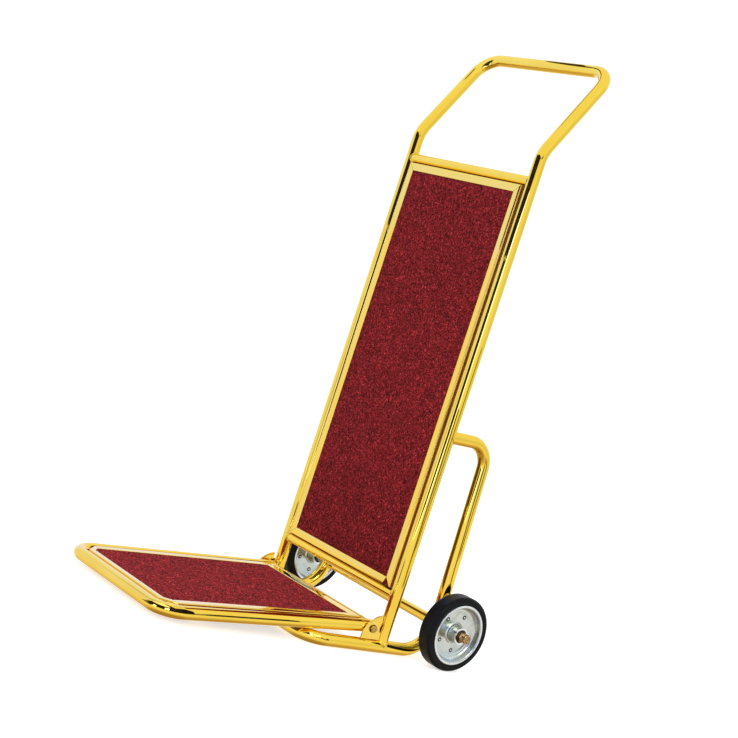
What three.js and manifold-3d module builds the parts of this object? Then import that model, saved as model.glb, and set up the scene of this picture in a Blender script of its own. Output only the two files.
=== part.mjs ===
// Folding luggage cart: a bent-tube frame on two wheels, with a carpeted back panel
// and a carpeted platform that folds up against it.
//
// Millimetres, +Z up. +X is the cart's right, -Y its front, where the platform lies.
// The cart is laid out from the plane of its two uprights (y = 0) and the ground (z = 0),
// and at the end the origin moves to the middle of its footprint.

import * as THREE from 'three';
import Module from 'manifold-3d';
import { mergeVertices } from 'three/addons/utils/BufferGeometryUtils.js';

// ---------------------------------------------------------------- driving dimensions

// Gap kept between pieces that touch, and between a shaft and what turns or sits on it.
const GAP = 0.3;
const RUNNING_GAP = 0.15;

// Flats on round sections: tubes and their bores, rods and rings, wheels.
const TUBE_SIDES = 12;
const BORE_SIDES = 6;
const ROD_SIDES = 16;
const RIM_SIDES = 32;
const TYRE_SIDES = 40;

// Main frame: two uprights and the handle, bent from one tube.
const TUBE_D = 25;
const TUBE_WALL = 1.5;
const FRAME_HALF_WIDTH = 188.2;
const HANDLE_BEND_Z = 1020.6;
const HANDLE_LEAN = THREE.MathUtils.degToRad(29.9);
const HANDLE_LENGTH = 232.2;
const HANDLE_CORNER_R = 48;
const HANDLE_BEND_R = 70;
const CROSS_TUBE_D = 20;
const UPPER_CROSS_Z = 963.7;
const LOWER_CROSS_Z = 116.5;

// Base loop: stub, rear tube, ground tube and front cross, bent from one tube.
const LOOP_D = 26;
const LOOP_CORNER_R = 50;
const LOOP_REAR_R = 70;
const LOOP_FRONT_R = 46;
const LOOP_FRONT_Y = -186;
const STUB_Z = 445.5;
const STUB_RISE = 3.2;
const REAR_TUBE_TOP = { y: 113.2, z: 449 };
const REAR_TUBE_FOOT_Y = 128.6;

// Axle and wheels.
const AXLE_Y = 126;
const AXLE_Z = 76.8;
const AXLE_R = 6;
const AXLE_HALF_LENGTH = 287;
const AXLE_TUBE_D = 22;
const WHEEL_X = 242.6;
const TYRE_R = 76.6;
const TYRE_HALF_WIDTH = 17.4;
const RIM_LIP_R = 61.6;
const RIM_HALF_WIDTH = 17.9;
const RIM_SEAT_R = 57.4;
const SHEET = 2;
const HUB_R = 17.3;
const HUB_BORE_R = 13;
const HUB_HALF_LENGTH = 24.4;
const RIVET_HOLES = 5;
const RIVET_PHASE = { right: 0.6, left: 0.77 };
const RIVET_HOLE_R = 2.4;
const RIVET_CIRCLE_R = 36.5;

// Back panel between the uprights.
const PANEL_HALF_WIDTH = 172.7;
const PANEL_BOTTOM_Z = 130;
const PANEL_TOP_Z = 949.5;
const PANEL_TRIM = 16;

// Platform, laid out flat from its pivot axis and then turned to its rest slope.
const PIVOT_Y = -37;
const PIVOT_Z = 47.6;
const PLATFORM_SLOPE = THREE.MathUtils.degToRad(3.27);
const PLATFORM_HALF_WIDTH = 176;
const PLATFORM_LENGTH = 474;
const PLATFORM_CORNER_R = 46;
const PLATFORM_END_Y = 13;
const PLUG_START_Y = 8;
const PLUG_R = 9;
const REAR_BAR_Y = 5;
const DECK_HALF_WIDTH = 160.6;
const DECK_REAR_Y = -8;
const DECK_FRONT_Y = -460.5;
const DECK_CHAMFER = 26;
const DECK_TRIM_SIDE = 18;
const DECK_TRIM_REAR = 20.5;
const DECK_TRIM_FRONT = 10.5;

// Sheet trims, boards and carpet.
const TRIM_SHEET = 1.2;
const BOARD = 8.8;
const CARPET = 2;
const PILE_RISE = 0.9;

// Hinge.
const BRACKET_X = 190.3;
const BRACKET_SHEET = 3.5;
const BRACKET_R = 51;
const FLANGE_REACH = 14;
const BOLT_R = 4;
const INSERT_R = 6.5;

const RIGHT_AND_LEFT = [
  { side: 'right', sign: 1 },
  { side: 'left', sign: -1 },
];

// ---------------------------------------------------------------- materials

const metal = (colour, roughness) => new THREE.MeshStandardMaterial({ color: colour, roughness, metalness: 1 });
const plain = (colour, roughness) => new THREE.MeshStandardMaterial({ color: colour, roughness, metalness: 0 });

const FINISH = {
  gold: () => metal(0xe0a92e, 0.12),
  gold_trim: () => metal(0xe8c25a, 0.2),
  zinc: () => metal(0xb9c4c2, 0.35),
  brass: () => metal(0xb87a3c, 0.35),
  steel: () => metal(0xc8cbcc, 0.3),
  carpet: () => plain(0x8c1426, 0.95),
  plywood: () => plain(0x9a7448, 0.8),
  rubber: () => plain(0x17181b, 0.7),
  nylon: () => plain(0x20211f, 0.5),
};

// ---------------------------------------------------------------- solids and booleans

const wasm = await Module();
wasm.setup();

// A closed geometry with shared vertices merged and triangles of no area left out.
function welded(geometry) {
  const bare = geometry.index ? geometry.clone() : mergeVertices(geometry);
  bare.deleteAttribute('normal');
  bare.deleteAttribute('uv');
  const merged = mergeVertices(bare, 1e-3);
  const kept = [];
  const index = merged.index.array;
  for (let i = 0; i < index.length; i += 3) {
    const [a, b, c] = [index[i], index[i + 1], index[i + 2]];
    if (a !== b && b !== c && c !== a) {
      kept.push(a, b, c);
    }
  }
  merged.setIndex(kept);
  return merged;
}

function toSolid(geometry) {
  const closed = welded(geometry);
  const mesh = new wasm.Mesh({
    numProp: 3,
    vertProperties: new Float32Array(closed.attributes.position.array),
    triVerts: new Uint32Array(closed.index.array),
  });
  return new wasm.Manifold(mesh);
}

function toGeometry(solid) {
  const mesh = solid.getMesh();
  const geometry = new THREE.BufferGeometry();
  geometry.setAttribute('position', new THREE.BufferAttribute(mesh.vertProperties, 3));
  geometry.setIndex(new THREE.BufferAttribute(mesh.triVerts, 1));
  return geometry;
}

function cut(geometry, ...cutters) {
  let solid = toSolid(geometry);
  for (const cutter of cutters) {
    solid = solid.subtract(toSolid(cutter));
  }
  return toGeometry(solid);
}

function join(geometry, ...others) {
  let solid = toSolid(geometry);
  for (const other of others) {
    solid = solid.add(toSolid(other));
  }
  return toGeometry(solid);
}

// ---------------------------------------------------------------- shapes

function circlePoints(radius, sides, centre = [0, 0]) {
  const points = [];
  for (let i = 0; i < sides; i += 1) {
    const angle = (i / sides) * Math.PI * 2;
    points.push(new THREE.Vector2(centre[0] + radius * Math.cos(angle), centre[1] + radius * Math.sin(angle)));
  }
  return points;
}

// The radius of a polygon's corners whose flats are at the given radius.
const overFlats = (radius, sides = ROD_SIDES) => radius / Math.cos(Math.PI / sides);

// A path of straights joined by round bends. Its stations are the ends of the straights
// and even steps round each bend.
class BentPath extends THREE.Curve {
  constructor(corners, radii, stepsPerBend = 5) {
    super();
    this.stations = [{ point: corners[0], tangent: corners[1].clone().sub(corners[0]).normalize() }];
    for (let i = 1; i < corners.length - 1; i += 1) {
      this.addBend(corners[i - 1], corners[i], corners[i + 1], radii[i - 1], stepsPerBend);
    }
    const last = corners[corners.length - 1];
    const before = corners[corners.length - 2];
    this.stations.push({ point: last, tangent: last.clone().sub(before).normalize() });
  }

  addBend(before, corner, after, radius, steps) {
    const into = corner.clone().sub(before).normalize();
    const out = after.clone().sub(corner).normalize();
    const turn = into.angleTo(out);
    const inward = out.clone().sub(into.clone().multiplyScalar(into.dot(out))).normalize();
    const start = corner.clone().addScaledVector(into, -radius * Math.tan(turn / 2));
    const centre = start.clone().addScaledVector(inward, radius);
    for (let i = 0; i <= steps; i += 1) {
      const angle = (turn * i) / steps;
      const point = centre.clone()
        .addScaledVector(inward, -radius * Math.cos(angle))
        .addScaledVector(into, radius * Math.sin(angle));
      const tangent = into.clone().multiplyScalar(Math.cos(angle)).addScaledVector(inward, Math.sin(angle));
      this.stations.push({ point, tangent });
    }
  }

  get steps() {
    return this.stations.length - 1;
  }

  getPointAt(u, target = new THREE.Vector3()) {
    return target.copy(this.stations[Math.round(u * this.steps)].point);
  }

  getTangentAt(u, target = new THREE.Vector3()) {
    return target.copy(this.stations[Math.round(u * this.steps)].tangent);
  }
}

// A solid round bar along a path.
function barAlong(path, diameter) {
  const section = new THREE.Shape(circlePoints(diameter / 2, TUBE_SIDES));
  return new THREE.ExtrudeGeometry(section, { steps: path.steps, extrudePath: path });
}

// A hollow round tube along a path, open at both ends.
function tubeAlong(path, diameter) {
  const section = new THREE.Shape(circlePoints(diameter / 2, TUBE_SIDES));
  section.holes.push(new THREE.Path(circlePoints(diameter / 2 - TUBE_WALL, BORE_SIDES)));
  return new THREE.ExtrudeGeometry(section, { steps: path.steps, extrudePath: path });
}

function straightTube(from, to, diameter) {
  return tubeAlong(new BentPath([from, to], []), diameter);
}

// A solid cylinder between two points, as a rod or a cutter.
function rod(from, to, radius, sides = ROD_SIDES) {
  const along = to.clone().sub(from);
  const geometry = new THREE.CylinderGeometry(radius, radius, along.length(), sides);
  const turn = new THREE.Quaternion().setFromUnitVectors(new THREE.Vector3(0, 1, 0), along.normalize());
  geometry.applyQuaternion(turn);
  geometry.translate(...from.clone().add(to).multiplyScalar(0.5).toArray());
  return geometry;
}

// A cylinder along X through (y, z), from x1 to x2.
function crossRod(x1, x2, y, z, radius, sides = ROD_SIDES) {
  return rod(new THREE.Vector3(x1, y, z), new THREE.Vector3(x2, y, z), radius, sides);
}

// A ring along X about the origin, from x1 to x2.
function crossRing(x1, x2, innerRadius, outerRadius) {
  const section = new THREE.Shape(circlePoints(outerRadius, ROD_SIDES));
  section.holes.push(new THREE.Path(circlePoints(overFlats(innerRadius), ROD_SIDES)));
  const geometry = new THREE.ExtrudeGeometry(section, { depth: Math.abs(x2 - x1), bevelEnabled: false });
  geometry.rotateY(Math.PI / 2);
  geometry.translate(Math.min(x1, x2), 0, 0);
  return geometry;
}

// A plate whose outline is given in (y, z), from x1 to x2.
function sidePlate(outline, x1, x2) {
  const geometry = new THREE.ExtrudeGeometry(outline, { depth: Math.abs(x2 - x1), bevelEnabled: false });
  const axes = new THREE.Matrix4().makeBasis(
    new THREE.Vector3(0, 1, 0),
    new THREE.Vector3(0, 0, 1),
    new THREE.Vector3(1, 0, 0),
  );
  geometry.applyMatrix4(axes);
  geometry.translate(Math.min(x1, x2), 0, 0);
  return geometry;
}

function box(x1, x2, y1, y2, z1, z2) {
  const geometry = new THREE.BoxGeometry(Math.abs(x2 - x1), y2 - y1, z2 - z1);
  geometry.translate((x1 + x2) / 2, (y1 + y2) / 2, (z1 + z2) / 2);
  return geometry;
}

// A round of closed profile points [radius, along] about the Y axis.
function turned(profile, segments) {
  const points = profile.map(([radius, along]) => new THREE.Vector2(radius, along));
  points.push(points[0].clone());
  return new THREE.LatheGeometry(points, segments);
}

function addMesh(group, name, geometry, finish) {
  const mesh = new THREE.Mesh(geometry, FINISH[finish]());
  mesh.name = name;
  group.add(mesh);
  return mesh;
}

const vec = (x, y, z) => new THREE.Vector3(x, y, z);

// ---------------------------------------------------------------- framed boards

// Points of an outline moved inwards: each side has its own inset, in the order of the sides,
// and side i runs from point i to point i + 1.
function insetOutline(points, insets) {
  const count = points.length;
  const sides = points.map((point, i) => {
    const along = points[(i + 1) % count].clone().sub(point).normalize();
    const inward = new THREE.Vector2(-along.y, along.x);
    return { start: point.clone().addScaledVector(inward, insets[i]), along };
  });
  return sides.map((side, i) => {
    const before = sides[(i + count - 1) % count];
    const gap = side.start.clone().sub(before.start);
    const reach = gap.cross(side.along) / before.along.cross(side.along);
    return before.start.clone().addScaledVector(before.along, reach);
  });
}

// A flat slab over an outline, from height z1 to z2.
function slab(points, z1, z2) {
  const geometry = new THREE.ExtrudeGeometry(new THREE.Shape(points), { depth: z2 - z1, bevelEnabled: false });
  geometry.translate(0, 0, z1);
  return geometry;
}

// A strip of the frame round an outline: the sides first to last, from the outline to a
// share of the way to its inset. Its ends are mitred and keep clear of the next strips.
function strip(outer, inner, first, last, share = 1) {
  const count = outer.length;
  const outside = [];
  const inside = [];
  for (let i = first; i <= last + 1; i += 1) {
    outside.push(outer[i % count].clone());
    inside.push(outer[i % count].clone().lerp(inner[i % count], share));
  }
  const ends = [[0, 1], [outside.length - 1, -1]];
  for (const [end, step] of ends) {
    const along = outside[end + step].clone().sub(outside[end]).normalize();
    outside[end].addScaledVector(along, GAP);
    inside[end].addScaledVector(along, GAP);
  }
  return outside.concat(inside.reverse());
}

// A board with carpet on top, framed by angle trims. The outline runs anticlockwise seen
// from above, z is measured from the top of the trims, and strips says which sides each
// trim covers. The carpet runs under the trims, and its pile stands up between them.
function framedBoard(group, prefix, outline, trimWidths, strips, boardHoles) {
  const inner = insetOutline(outline, trimWidths);
  const boardOutline = insetOutline(outline, outline.map(() => TRIM_SHEET + GAP));
  const carpetTop = -TRIM_SHEET - GAP;
  const boardTop = carpetTop - CARPET - GAP;
  const boardBottom = boardTop - BOARD;

  const board = cut(slab(boardOutline, boardBottom, boardTop), ...boardHoles(boardBottom));
  addMesh(group, `${prefix}_board`, board, 'plywood');
  const pileOutline = insetOutline(outline, trimWidths.map((width) => width + GAP));
  const carpet = slab(boardOutline, carpetTop - CARPET, carpetTop);
  const pile = slab(pileOutline, carpetTop - CARPET / 2, carpetTop + PILE_RISE);
  addMesh(group, `${prefix}_carpet`, join(carpet, pile), 'carpet');
  for (const [name, first, last] of strips) {
    const face = slab(strip(outline, inner, first, last), -TRIM_SHEET, 0);
    const edge = strip(outline, inner, first, last, TRIM_SHEET / trimWidths[first]);
    const flange = slab(edge, boardBottom, -TRIM_SHEET / 2);
    addMesh(group, `${prefix}_trim_${name}`, join(face, flange), 'gold_trim');
  }
  return boardBottom;
}

// ---------------------------------------------------------------- main frame

const uprightAxis = (sign, z1, z2) => [vec(sign * FRAME_HALF_WIDTH, 0, z1), vec(sign * FRAME_HALF_WIDTH, 0, z2)];
const uprightCutter = (sign, z1, z2) => rod(...uprightAxis(sign, z1, z2), overFlats(TUBE_D / 2 + GAP));
const groundCutter = (sign) => rod(
  vec(sign * FRAME_HALF_WIDTH, -60, LOOP_D / 2),
  vec(sign * FRAME_HALF_WIDTH, 60, LOOP_D / 2),
  overFlats(LOOP_D / 2 + GAP),
);

function addMainFrame(group) {
  const topY = HANDLE_LENGTH * Math.sin(HANDLE_LEAN);
  const topZ = HANDLE_BEND_Z + HANDLE_LENGTH * Math.cos(HANDLE_LEAN);
  const side = (sign) => [
    vec(sign * FRAME_HALF_WIDTH, 0, LOOP_D / 2),
    vec(sign * FRAME_HALF_WIDTH, 0, HANDLE_BEND_Z),
    vec(sign * FRAME_HALF_WIDTH, topY, topZ),
  ];
  const corners = [...side(1), ...side(-1).reverse()];
  const path = new BentPath(corners, [HANDLE_BEND_R, HANDLE_CORNER_R, HANDLE_CORNER_R, HANDLE_BEND_R]);
  const tube = cut(tubeAlong(path, TUBE_D), groundCutter(1), groundCutter(-1));
  addMesh(group, 'main_frame_tube', tube, 'gold');

  for (const [name, z] of [['upper_cross_tube', UPPER_CROSS_Z], ['lower_cross_tube', LOWER_CROSS_Z]]) {
    const bar = straightTube(vec(-FRAME_HALF_WIDTH, 0, z), vec(FRAME_HALF_WIDTH, 0, z), CROSS_TUBE_D);
    addMesh(group, name, cut(bar, uprightCutter(1, z - 30, z + 30), uprightCutter(-1, z - 30, z + 30)), 'gold');
  }
}

// ---------------------------------------------------------------- base loop

function baseLoopPath() {
  const stubStartY = TUBE_D / 4;
  const side = (sign) => [
    vec(sign * FRAME_HALF_WIDTH, stubStartY, STUB_Z),
    vec(sign * FRAME_HALF_WIDTH, REAR_TUBE_TOP.y, STUB_Z + STUB_RISE),
    vec(sign * FRAME_HALF_WIDTH, REAR_TUBE_FOOT_Y, LOOP_D / 2),
    vec(sign * FRAME_HALF_WIDTH, LOOP_FRONT_Y, LOOP_D / 2),
  ];
  const corners = [...side(1), ...side(-1).reverse()];
  const radii = [LOOP_CORNER_R, LOOP_REAR_R, LOOP_FRONT_R];
  return new BentPath(corners, [...radii, ...radii.slice().reverse()]);
}

function addBaseLoop(group) {
  const stubHeights = [STUB_Z - 40, STUB_Z + 40];
  const tube = cut(
    tubeAlong(baseLoopPath(), LOOP_D),
    uprightCutter(1, ...stubHeights),
    uprightCutter(-1, ...stubHeights),
    crossRod(-AXLE_HALF_LENGTH, AXLE_HALF_LENGTH, AXLE_Y, AXLE_Z, overFlats(AXLE_R + GAP)),
  );
  addMesh(group, 'base_loop_tube', tube, 'gold');
}

// ---------------------------------------------------------------- axle

function addAxle(group) {
  const axle = new THREE.Group();
  axle.position.set(0, AXLE_Y, AXLE_Z);
  group.add(axle);

  const loopCutter = barAlong(baseLoopPath(), LOOP_D + 2 * GAP).translate(0, -AXLE_Y, -AXLE_Z);
  const sleeve = straightTube(vec(-FRAME_HALF_WIDTH, 0, 0), vec(FRAME_HALF_WIDTH, 0, 0), AXLE_TUBE_D);
  addMesh(axle, 'axle_tube', cut(sleeve, loopCutter), 'gold');
  addMesh(axle, 'axle_rod', crossRod(-AXLE_HALF_LENGTH, AXLE_HALF_LENGTH, 0, 0, AXLE_R), 'brass');

  const hubInner = WHEEL_X - HUB_HALF_LENGTH - GAP;
  const hubOuter = WHEEL_X + HUB_HALF_LENGTH + GAP;
  const washer = 2;
  const nut = 8;
  const collar = 8.6;
  const bore = AXLE_R + RUNNING_GAP;
  for (const { side, sign } of RIGHT_AND_LEFT) {
    const tubeFace = FRAME_HALF_WIDTH + LOOP_D / 2 + GAP;
    addMesh(axle, `axle_spacer_${side}`, crossRing(sign * tubeFace, sign * hubInner, bore, 9), 'steel');
    addMesh(axle, `axle_washer_${side}`, crossRing(sign * hubOuter, sign * (hubOuter + washer), bore, 12), 'steel');
    const nutStart = sign * (hubOuter + washer + GAP);
    const nutEnd = nutStart + sign * nut;
    const collarEnd = nutEnd + sign * collar;
    const hexagon = crossRod(nutStart, nutEnd, 0, 0, 10.4, 6);
    const round = crossRod(nutEnd - sign, collarEnd, 0, 0, 8.8);
    const thread = crossRod(nutStart - sign, collarEnd + sign, 0, 0, overFlats(bore));
    addMesh(axle, `axle_nut_${side}`, cut(join(hexagon, round), thread), 'brass');
  }
}

// ---------------------------------------------------------------- hinge brackets

// Each bracket is a rounded gusset plate standing on the ground tube, with a flange bent
// inwards across the front of the upright.
function addBrackets(group) {
  const footZ = LOOP_D + 0.2;
  const backY = -TUBE_D / 2 - GAP;
  const centre = { y: backY + 3.3, z: footZ };
  const topAngle = THREE.MathUtils.degToRad(101);
  const arcSteps = 10;
  const outline = new THREE.Shape();
  outline.moveTo(backY, footZ);
  outline.lineTo(backY, footZ + 20);
  for (let i = 0; i <= arcSteps; i += 1) {
    const angle = topAngle + ((Math.PI - topAngle) * i) / arcSteps;
    outline.lineTo(centre.y + BRACKET_R * Math.cos(angle), centre.z + BRACKET_R * Math.sin(angle));
  }
  outline.closePath();
  const boltHole = circlePoints(overFlats(BOLT_R + RUNNING_GAP), ROD_SIDES, [PIVOT_Y, PIVOT_Z]);
  outline.holes.push(new THREE.Path(boltHole));

  const flangeTop = footZ + 38;
  for (const { side, sign } of RIGHT_AND_LEFT) {
    const plate = sidePlate(outline, sign * BRACKET_X, sign * (BRACKET_X + BRACKET_SHEET));
    const flangeEnds = [sign * (BRACKET_X - FLANGE_REACH), sign * (BRACKET_X + 1)];
    const flange = box(...flangeEnds, backY - BRACKET_SHEET, backY, footZ, flangeTop);
    addMesh(group, `hinge_bracket_${side}`, join(plate, flange), 'gold_trim');
  }
}

// ---------------------------------------------------------------- back panel

function addBackPanel(group) {
  const panel = new THREE.Group();
  const trimFaceY = -12.1;
  // The board's own x, y and z become the cart's x, z and -y.
  panel.rotation.x = Math.PI / 2;
  panel.position.y = trimFaceY;
  group.add(panel);

  const outline = [
    new THREE.Vector2(-PANEL_HALF_WIDTH, PANEL_BOTTOM_Z),
    new THREE.Vector2(PANEL_HALF_WIDTH, PANEL_BOTTOM_Z),
    new THREE.Vector2(PANEL_HALF_WIDTH, PANEL_TOP_Z),
    new THREE.Vector2(-PANEL_HALF_WIDTH, PANEL_TOP_Z),
  ];
  const widths = outline.map(() => PANEL_TRIM);
  const strips = [['bottom', 0, 0], ['right', 1, 1], ['top', 2, 2], ['left', 3, 3]];

  const tabCentreX = 162;
  const tabSheet = 3;
  const tabHeights = [['upper', 790], ['lower', 290]];
  const screwR = 2.2;
  const screwDepth = 6;
  const places = tabHeights.flatMap(([level, z]) => (
    RIGHT_AND_LEFT.map(({ side, sign }) => ({ name: `${level}_${side}`, x: sign * tabCentreX, z, sign }))
  ));
  const holes = (boardBottom) => places.map(({ x, z }) => (
    rod(vec(x, z, boardBottom - 5), vec(x, z, boardBottom + screwDepth + GAP), screwR + GAP, 12)
  ));
  const boardBottom = framedBoard(panel, 'back_panel', outline, widths, strips, holes);

  const tabTop = boardBottom - GAP;
  const tabBottom = tabTop - tabSheet;
  const uprightY = -trimFaceY;
  for (const { name, x, z, sign } of places) {
    const plate = box(sign * 150, sign * FRAME_HALF_WIDTH, z - 12, z + 12, tabBottom, tabTop);
    const upright = rod(
      vec(sign * FRAME_HALF_WIDTH, z - 30, -uprightY),
      vec(sign * FRAME_HALF_WIDTH, z + 30, -uprightY),
      overFlats(TUBE_D / 2 + GAP),
    );
    const screwHole = rod(vec(x, z, tabBottom - 5), vec(x, z, tabTop + 5), screwR + GAP, 12);
    addMesh(panel, `panel_tab_${name}`, cut(plate, upright, screwHole), 'gold');
    const shank = rod(vec(x, z, tabBottom - 1), vec(x, z, boardBottom + screwDepth), screwR, 12);
    const head = rod(vec(x, z, tabBottom - 3), vec(x, z, tabBottom - GAP), 4.5, 12);
    addMesh(panel, `panel_screw_${name}`, join(shank, head), 'steel');
  }
}

// ---------------------------------------------------------------- platform

function addPlatform(group) {
  const platform = new THREE.Group();
  platform.position.set(0, PIVOT_Y, PIVOT_Z);
  platform.rotation.x = PLATFORM_SLOPE;
  group.add(platform);

  addPlatformTubes(platform);
  addPlatformDeck(platform);
  addPivots(platform);
}

function addPlatformTubes(platform) {
  const radius = TUBE_D / 2;
  const corners = [
    vec(PLATFORM_HALF_WIDTH, PLATFORM_END_Y, 0),
    vec(PLATFORM_HALF_WIDTH, -PLATFORM_LENGTH, 0),
    vec(-PLATFORM_HALF_WIDTH, -PLATFORM_LENGTH, 0),
    vec(-PLATFORM_HALF_WIDTH, PLATFORM_END_Y, 0),
  ];
  const path = new BentPath(corners, [PLATFORM_CORNER_R, PLATFORM_CORNER_R]);
  const boltHoles = RIGHT_AND_LEFT.map(({ sign }) => (
    crossRod(sign * PLATFORM_HALF_WIDTH, sign * (PLATFORM_HALF_WIDTH + 20), 0, 0, BOLT_R + 2 * GAP)
  ));
  addMesh(platform, 'platform_frame_tube', cut(tubeAlong(path, TUBE_D), ...boltHoles), 'gold');

  const sideCutter = (sign) => rod(
    vec(sign * PLATFORM_HALF_WIDTH, -40, 0),
    vec(sign * PLATFORM_HALF_WIDTH, 40, 0),
    overFlats(radius + GAP),
  );
  const rearBar = straightTube(
    vec(-PLATFORM_HALF_WIDTH, REAR_BAR_Y, 0),
    vec(PLATFORM_HALF_WIDTH, REAR_BAR_Y, 0),
    CROSS_TUBE_D,
  );
  addMesh(platform, 'platform_rear_tube', cut(rearBar, sideCutter(1), sideCutter(-1)), 'gold');

  for (const { side, sign } of RIGHT_AND_LEFT) {
    const x = sign * PLATFORM_HALF_WIDTH;
    const cap = rod(vec(x, PLATFORM_END_Y + GAP, 0), vec(x, PLATFORM_END_Y + 1.8, 0), radius - 0.2);
    const stem = rod(vec(x, PLUG_START_Y, 0), vec(x, PLATFORM_END_Y + 1, 0), PLUG_R);
    addMesh(platform, `tube_plug_${side}`, join(cap, stem), 'nylon');
  }
}

function addPlatformDeck(platform) {
  const deck = new THREE.Group();
  deck.position.z = 12;
  platform.add(deck);

  const outline = [
    new THREE.Vector2(DECK_HALF_WIDTH, DECK_REAR_Y),
    new THREE.Vector2(-DECK_HALF_WIDTH, DECK_REAR_Y),
    new THREE.Vector2(-DECK_HALF_WIDTH, DECK_FRONT_Y + DECK_CHAMFER),
    new THREE.Vector2(-DECK_HALF_WIDTH + DECK_CHAMFER, DECK_FRONT_Y),
    new THREE.Vector2(DECK_HALF_WIDTH - DECK_CHAMFER, DECK_FRONT_Y),
    new THREE.Vector2(DECK_HALF_WIDTH, DECK_FRONT_Y + DECK_CHAMFER),
  ];
  const widths = [
    DECK_TRIM_REAR, DECK_TRIM_SIDE, DECK_TRIM_FRONT, DECK_TRIM_FRONT, DECK_TRIM_FRONT, DECK_TRIM_SIDE,
  ];
  const strips = [['rear', 0, 0], ['left', 1, 1], ['front', 2, 4], ['right', 5, 5]];
  const boardBottom = framedBoard(deck, 'platform', outline, widths, strips, () => []);

  const barTop = boardBottom - GAP;
  const barWidth = 25;
  const barSheet = 3;
  const tubeCutters = RIGHT_AND_LEFT.map(({ sign }) => rod(
    vec(sign * PLATFORM_HALF_WIDTH, -PLATFORM_LENGTH, -12),
    vec(sign * PLATFORM_HALF_WIDTH, 0, -12),
    overFlats(TUBE_D / 2 + GAP),
  ));
  for (const [name, y] of [['front', -370], ['rear', -110]]) {
    const bar = box(-PLATFORM_HALF_WIDTH, PLATFORM_HALF_WIDTH, y - barWidth / 2, y + barWidth / 2,
      barTop - barSheet, barTop);
    addMesh(deck, `deck_support_bar_${name}`, cut(bar, ...tubeCutters), 'gold');
  }
}

// The pivot bolts screw into inserts held inside the platform's side tubes and turn in the brackets.
function addPivots(platform) {
  const insertHalf = 7.1;
  const headHeight = 5.3;
  const washerStart = PLATFORM_HALF_WIDTH + TUBE_D / 2 + GAP;
  const headStart = BRACKET_X + BRACKET_SHEET + GAP;
  for (const { side, sign } of RIGHT_AND_LEFT) {
    const insertEnds = [sign * (PLATFORM_HALF_WIDTH - insertHalf), sign * (PLATFORM_HALF_WIDTH + insertHalf)];
    addMesh(platform, `pivot_insert_${side}`, crossRing(...insertEnds, BOLT_R + RUNNING_GAP, INSERT_R), 'steel');
    const washerEnds = [sign * washerStart, sign * (BRACKET_X - GAP)];
    addMesh(platform, `hinge_washer_${side}`, crossRing(...washerEnds, BOLT_R + RUNNING_GAP, 9), 'nylon');
    const shank = crossRod(sign * (PLATFORM_HALF_WIDTH - 6), sign * (headStart + 1), 0, 0, BOLT_R);
    const head = crossRod(sign * headStart, sign * (headStart + headHeight), 0, 0, 7.5, 6);
    addMesh(platform, `hinge_bolt_${side}`, join(shank, head), 'brass');
  }
}

// ---------------------------------------------------------------- wheels

// Half of the pressed rim, from its flat disc at the wheel's middle out to its lip, as
// closed profile points [radius, along].
function rimProfile() {
  const face = GAP / 2;
  const barrelOuter = RIM_SEAT_R;
  const barrelInner = RIM_SEAT_R - SHEET;
  const hole = HUB_R + GAP;
  return [
    [hole, face],
    [barrelOuter - 8, face],
    [barrelOuter, face + 8],
    [barrelOuter, RIM_HALF_WIDTH - SHEET],
    [RIM_LIP_R, RIM_HALF_WIDTH - SHEET],
    [RIM_LIP_R, RIM_HALF_WIDTH],
    [barrelInner, RIM_HALF_WIDTH],
    [barrelInner, face + 8 + SHEET / 2],
    [barrelOuter - 8 - SHEET / 2, face + SHEET],
    [hole, face + SHEET],
  ];
}

// The tyre's closed profile: a tread with rounded shoulders, stepped in where the rim's lips hold it.
function tyreProfile() {
  const seat = RIM_SEAT_R + GAP;
  const lip = RIM_HALF_WIDTH - SHEET - GAP;
  const half = TYRE_HALF_WIDTH;
  const upperHalf = [
    [TYRE_R, half - 7],
    [TYRE_R - 2.4, half - 2.4],
    [TYRE_R - 7, half],
    [RIM_LIP_R + GAP, half],
    [RIM_LIP_R + GAP, lip],
    [seat, lip],
  ];
  const lowerHalf = upperHalf.map(([radius, along]) => [radius, -along]).reverse();
  return [...lowerHalf, ...upperHalf];
}

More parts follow.
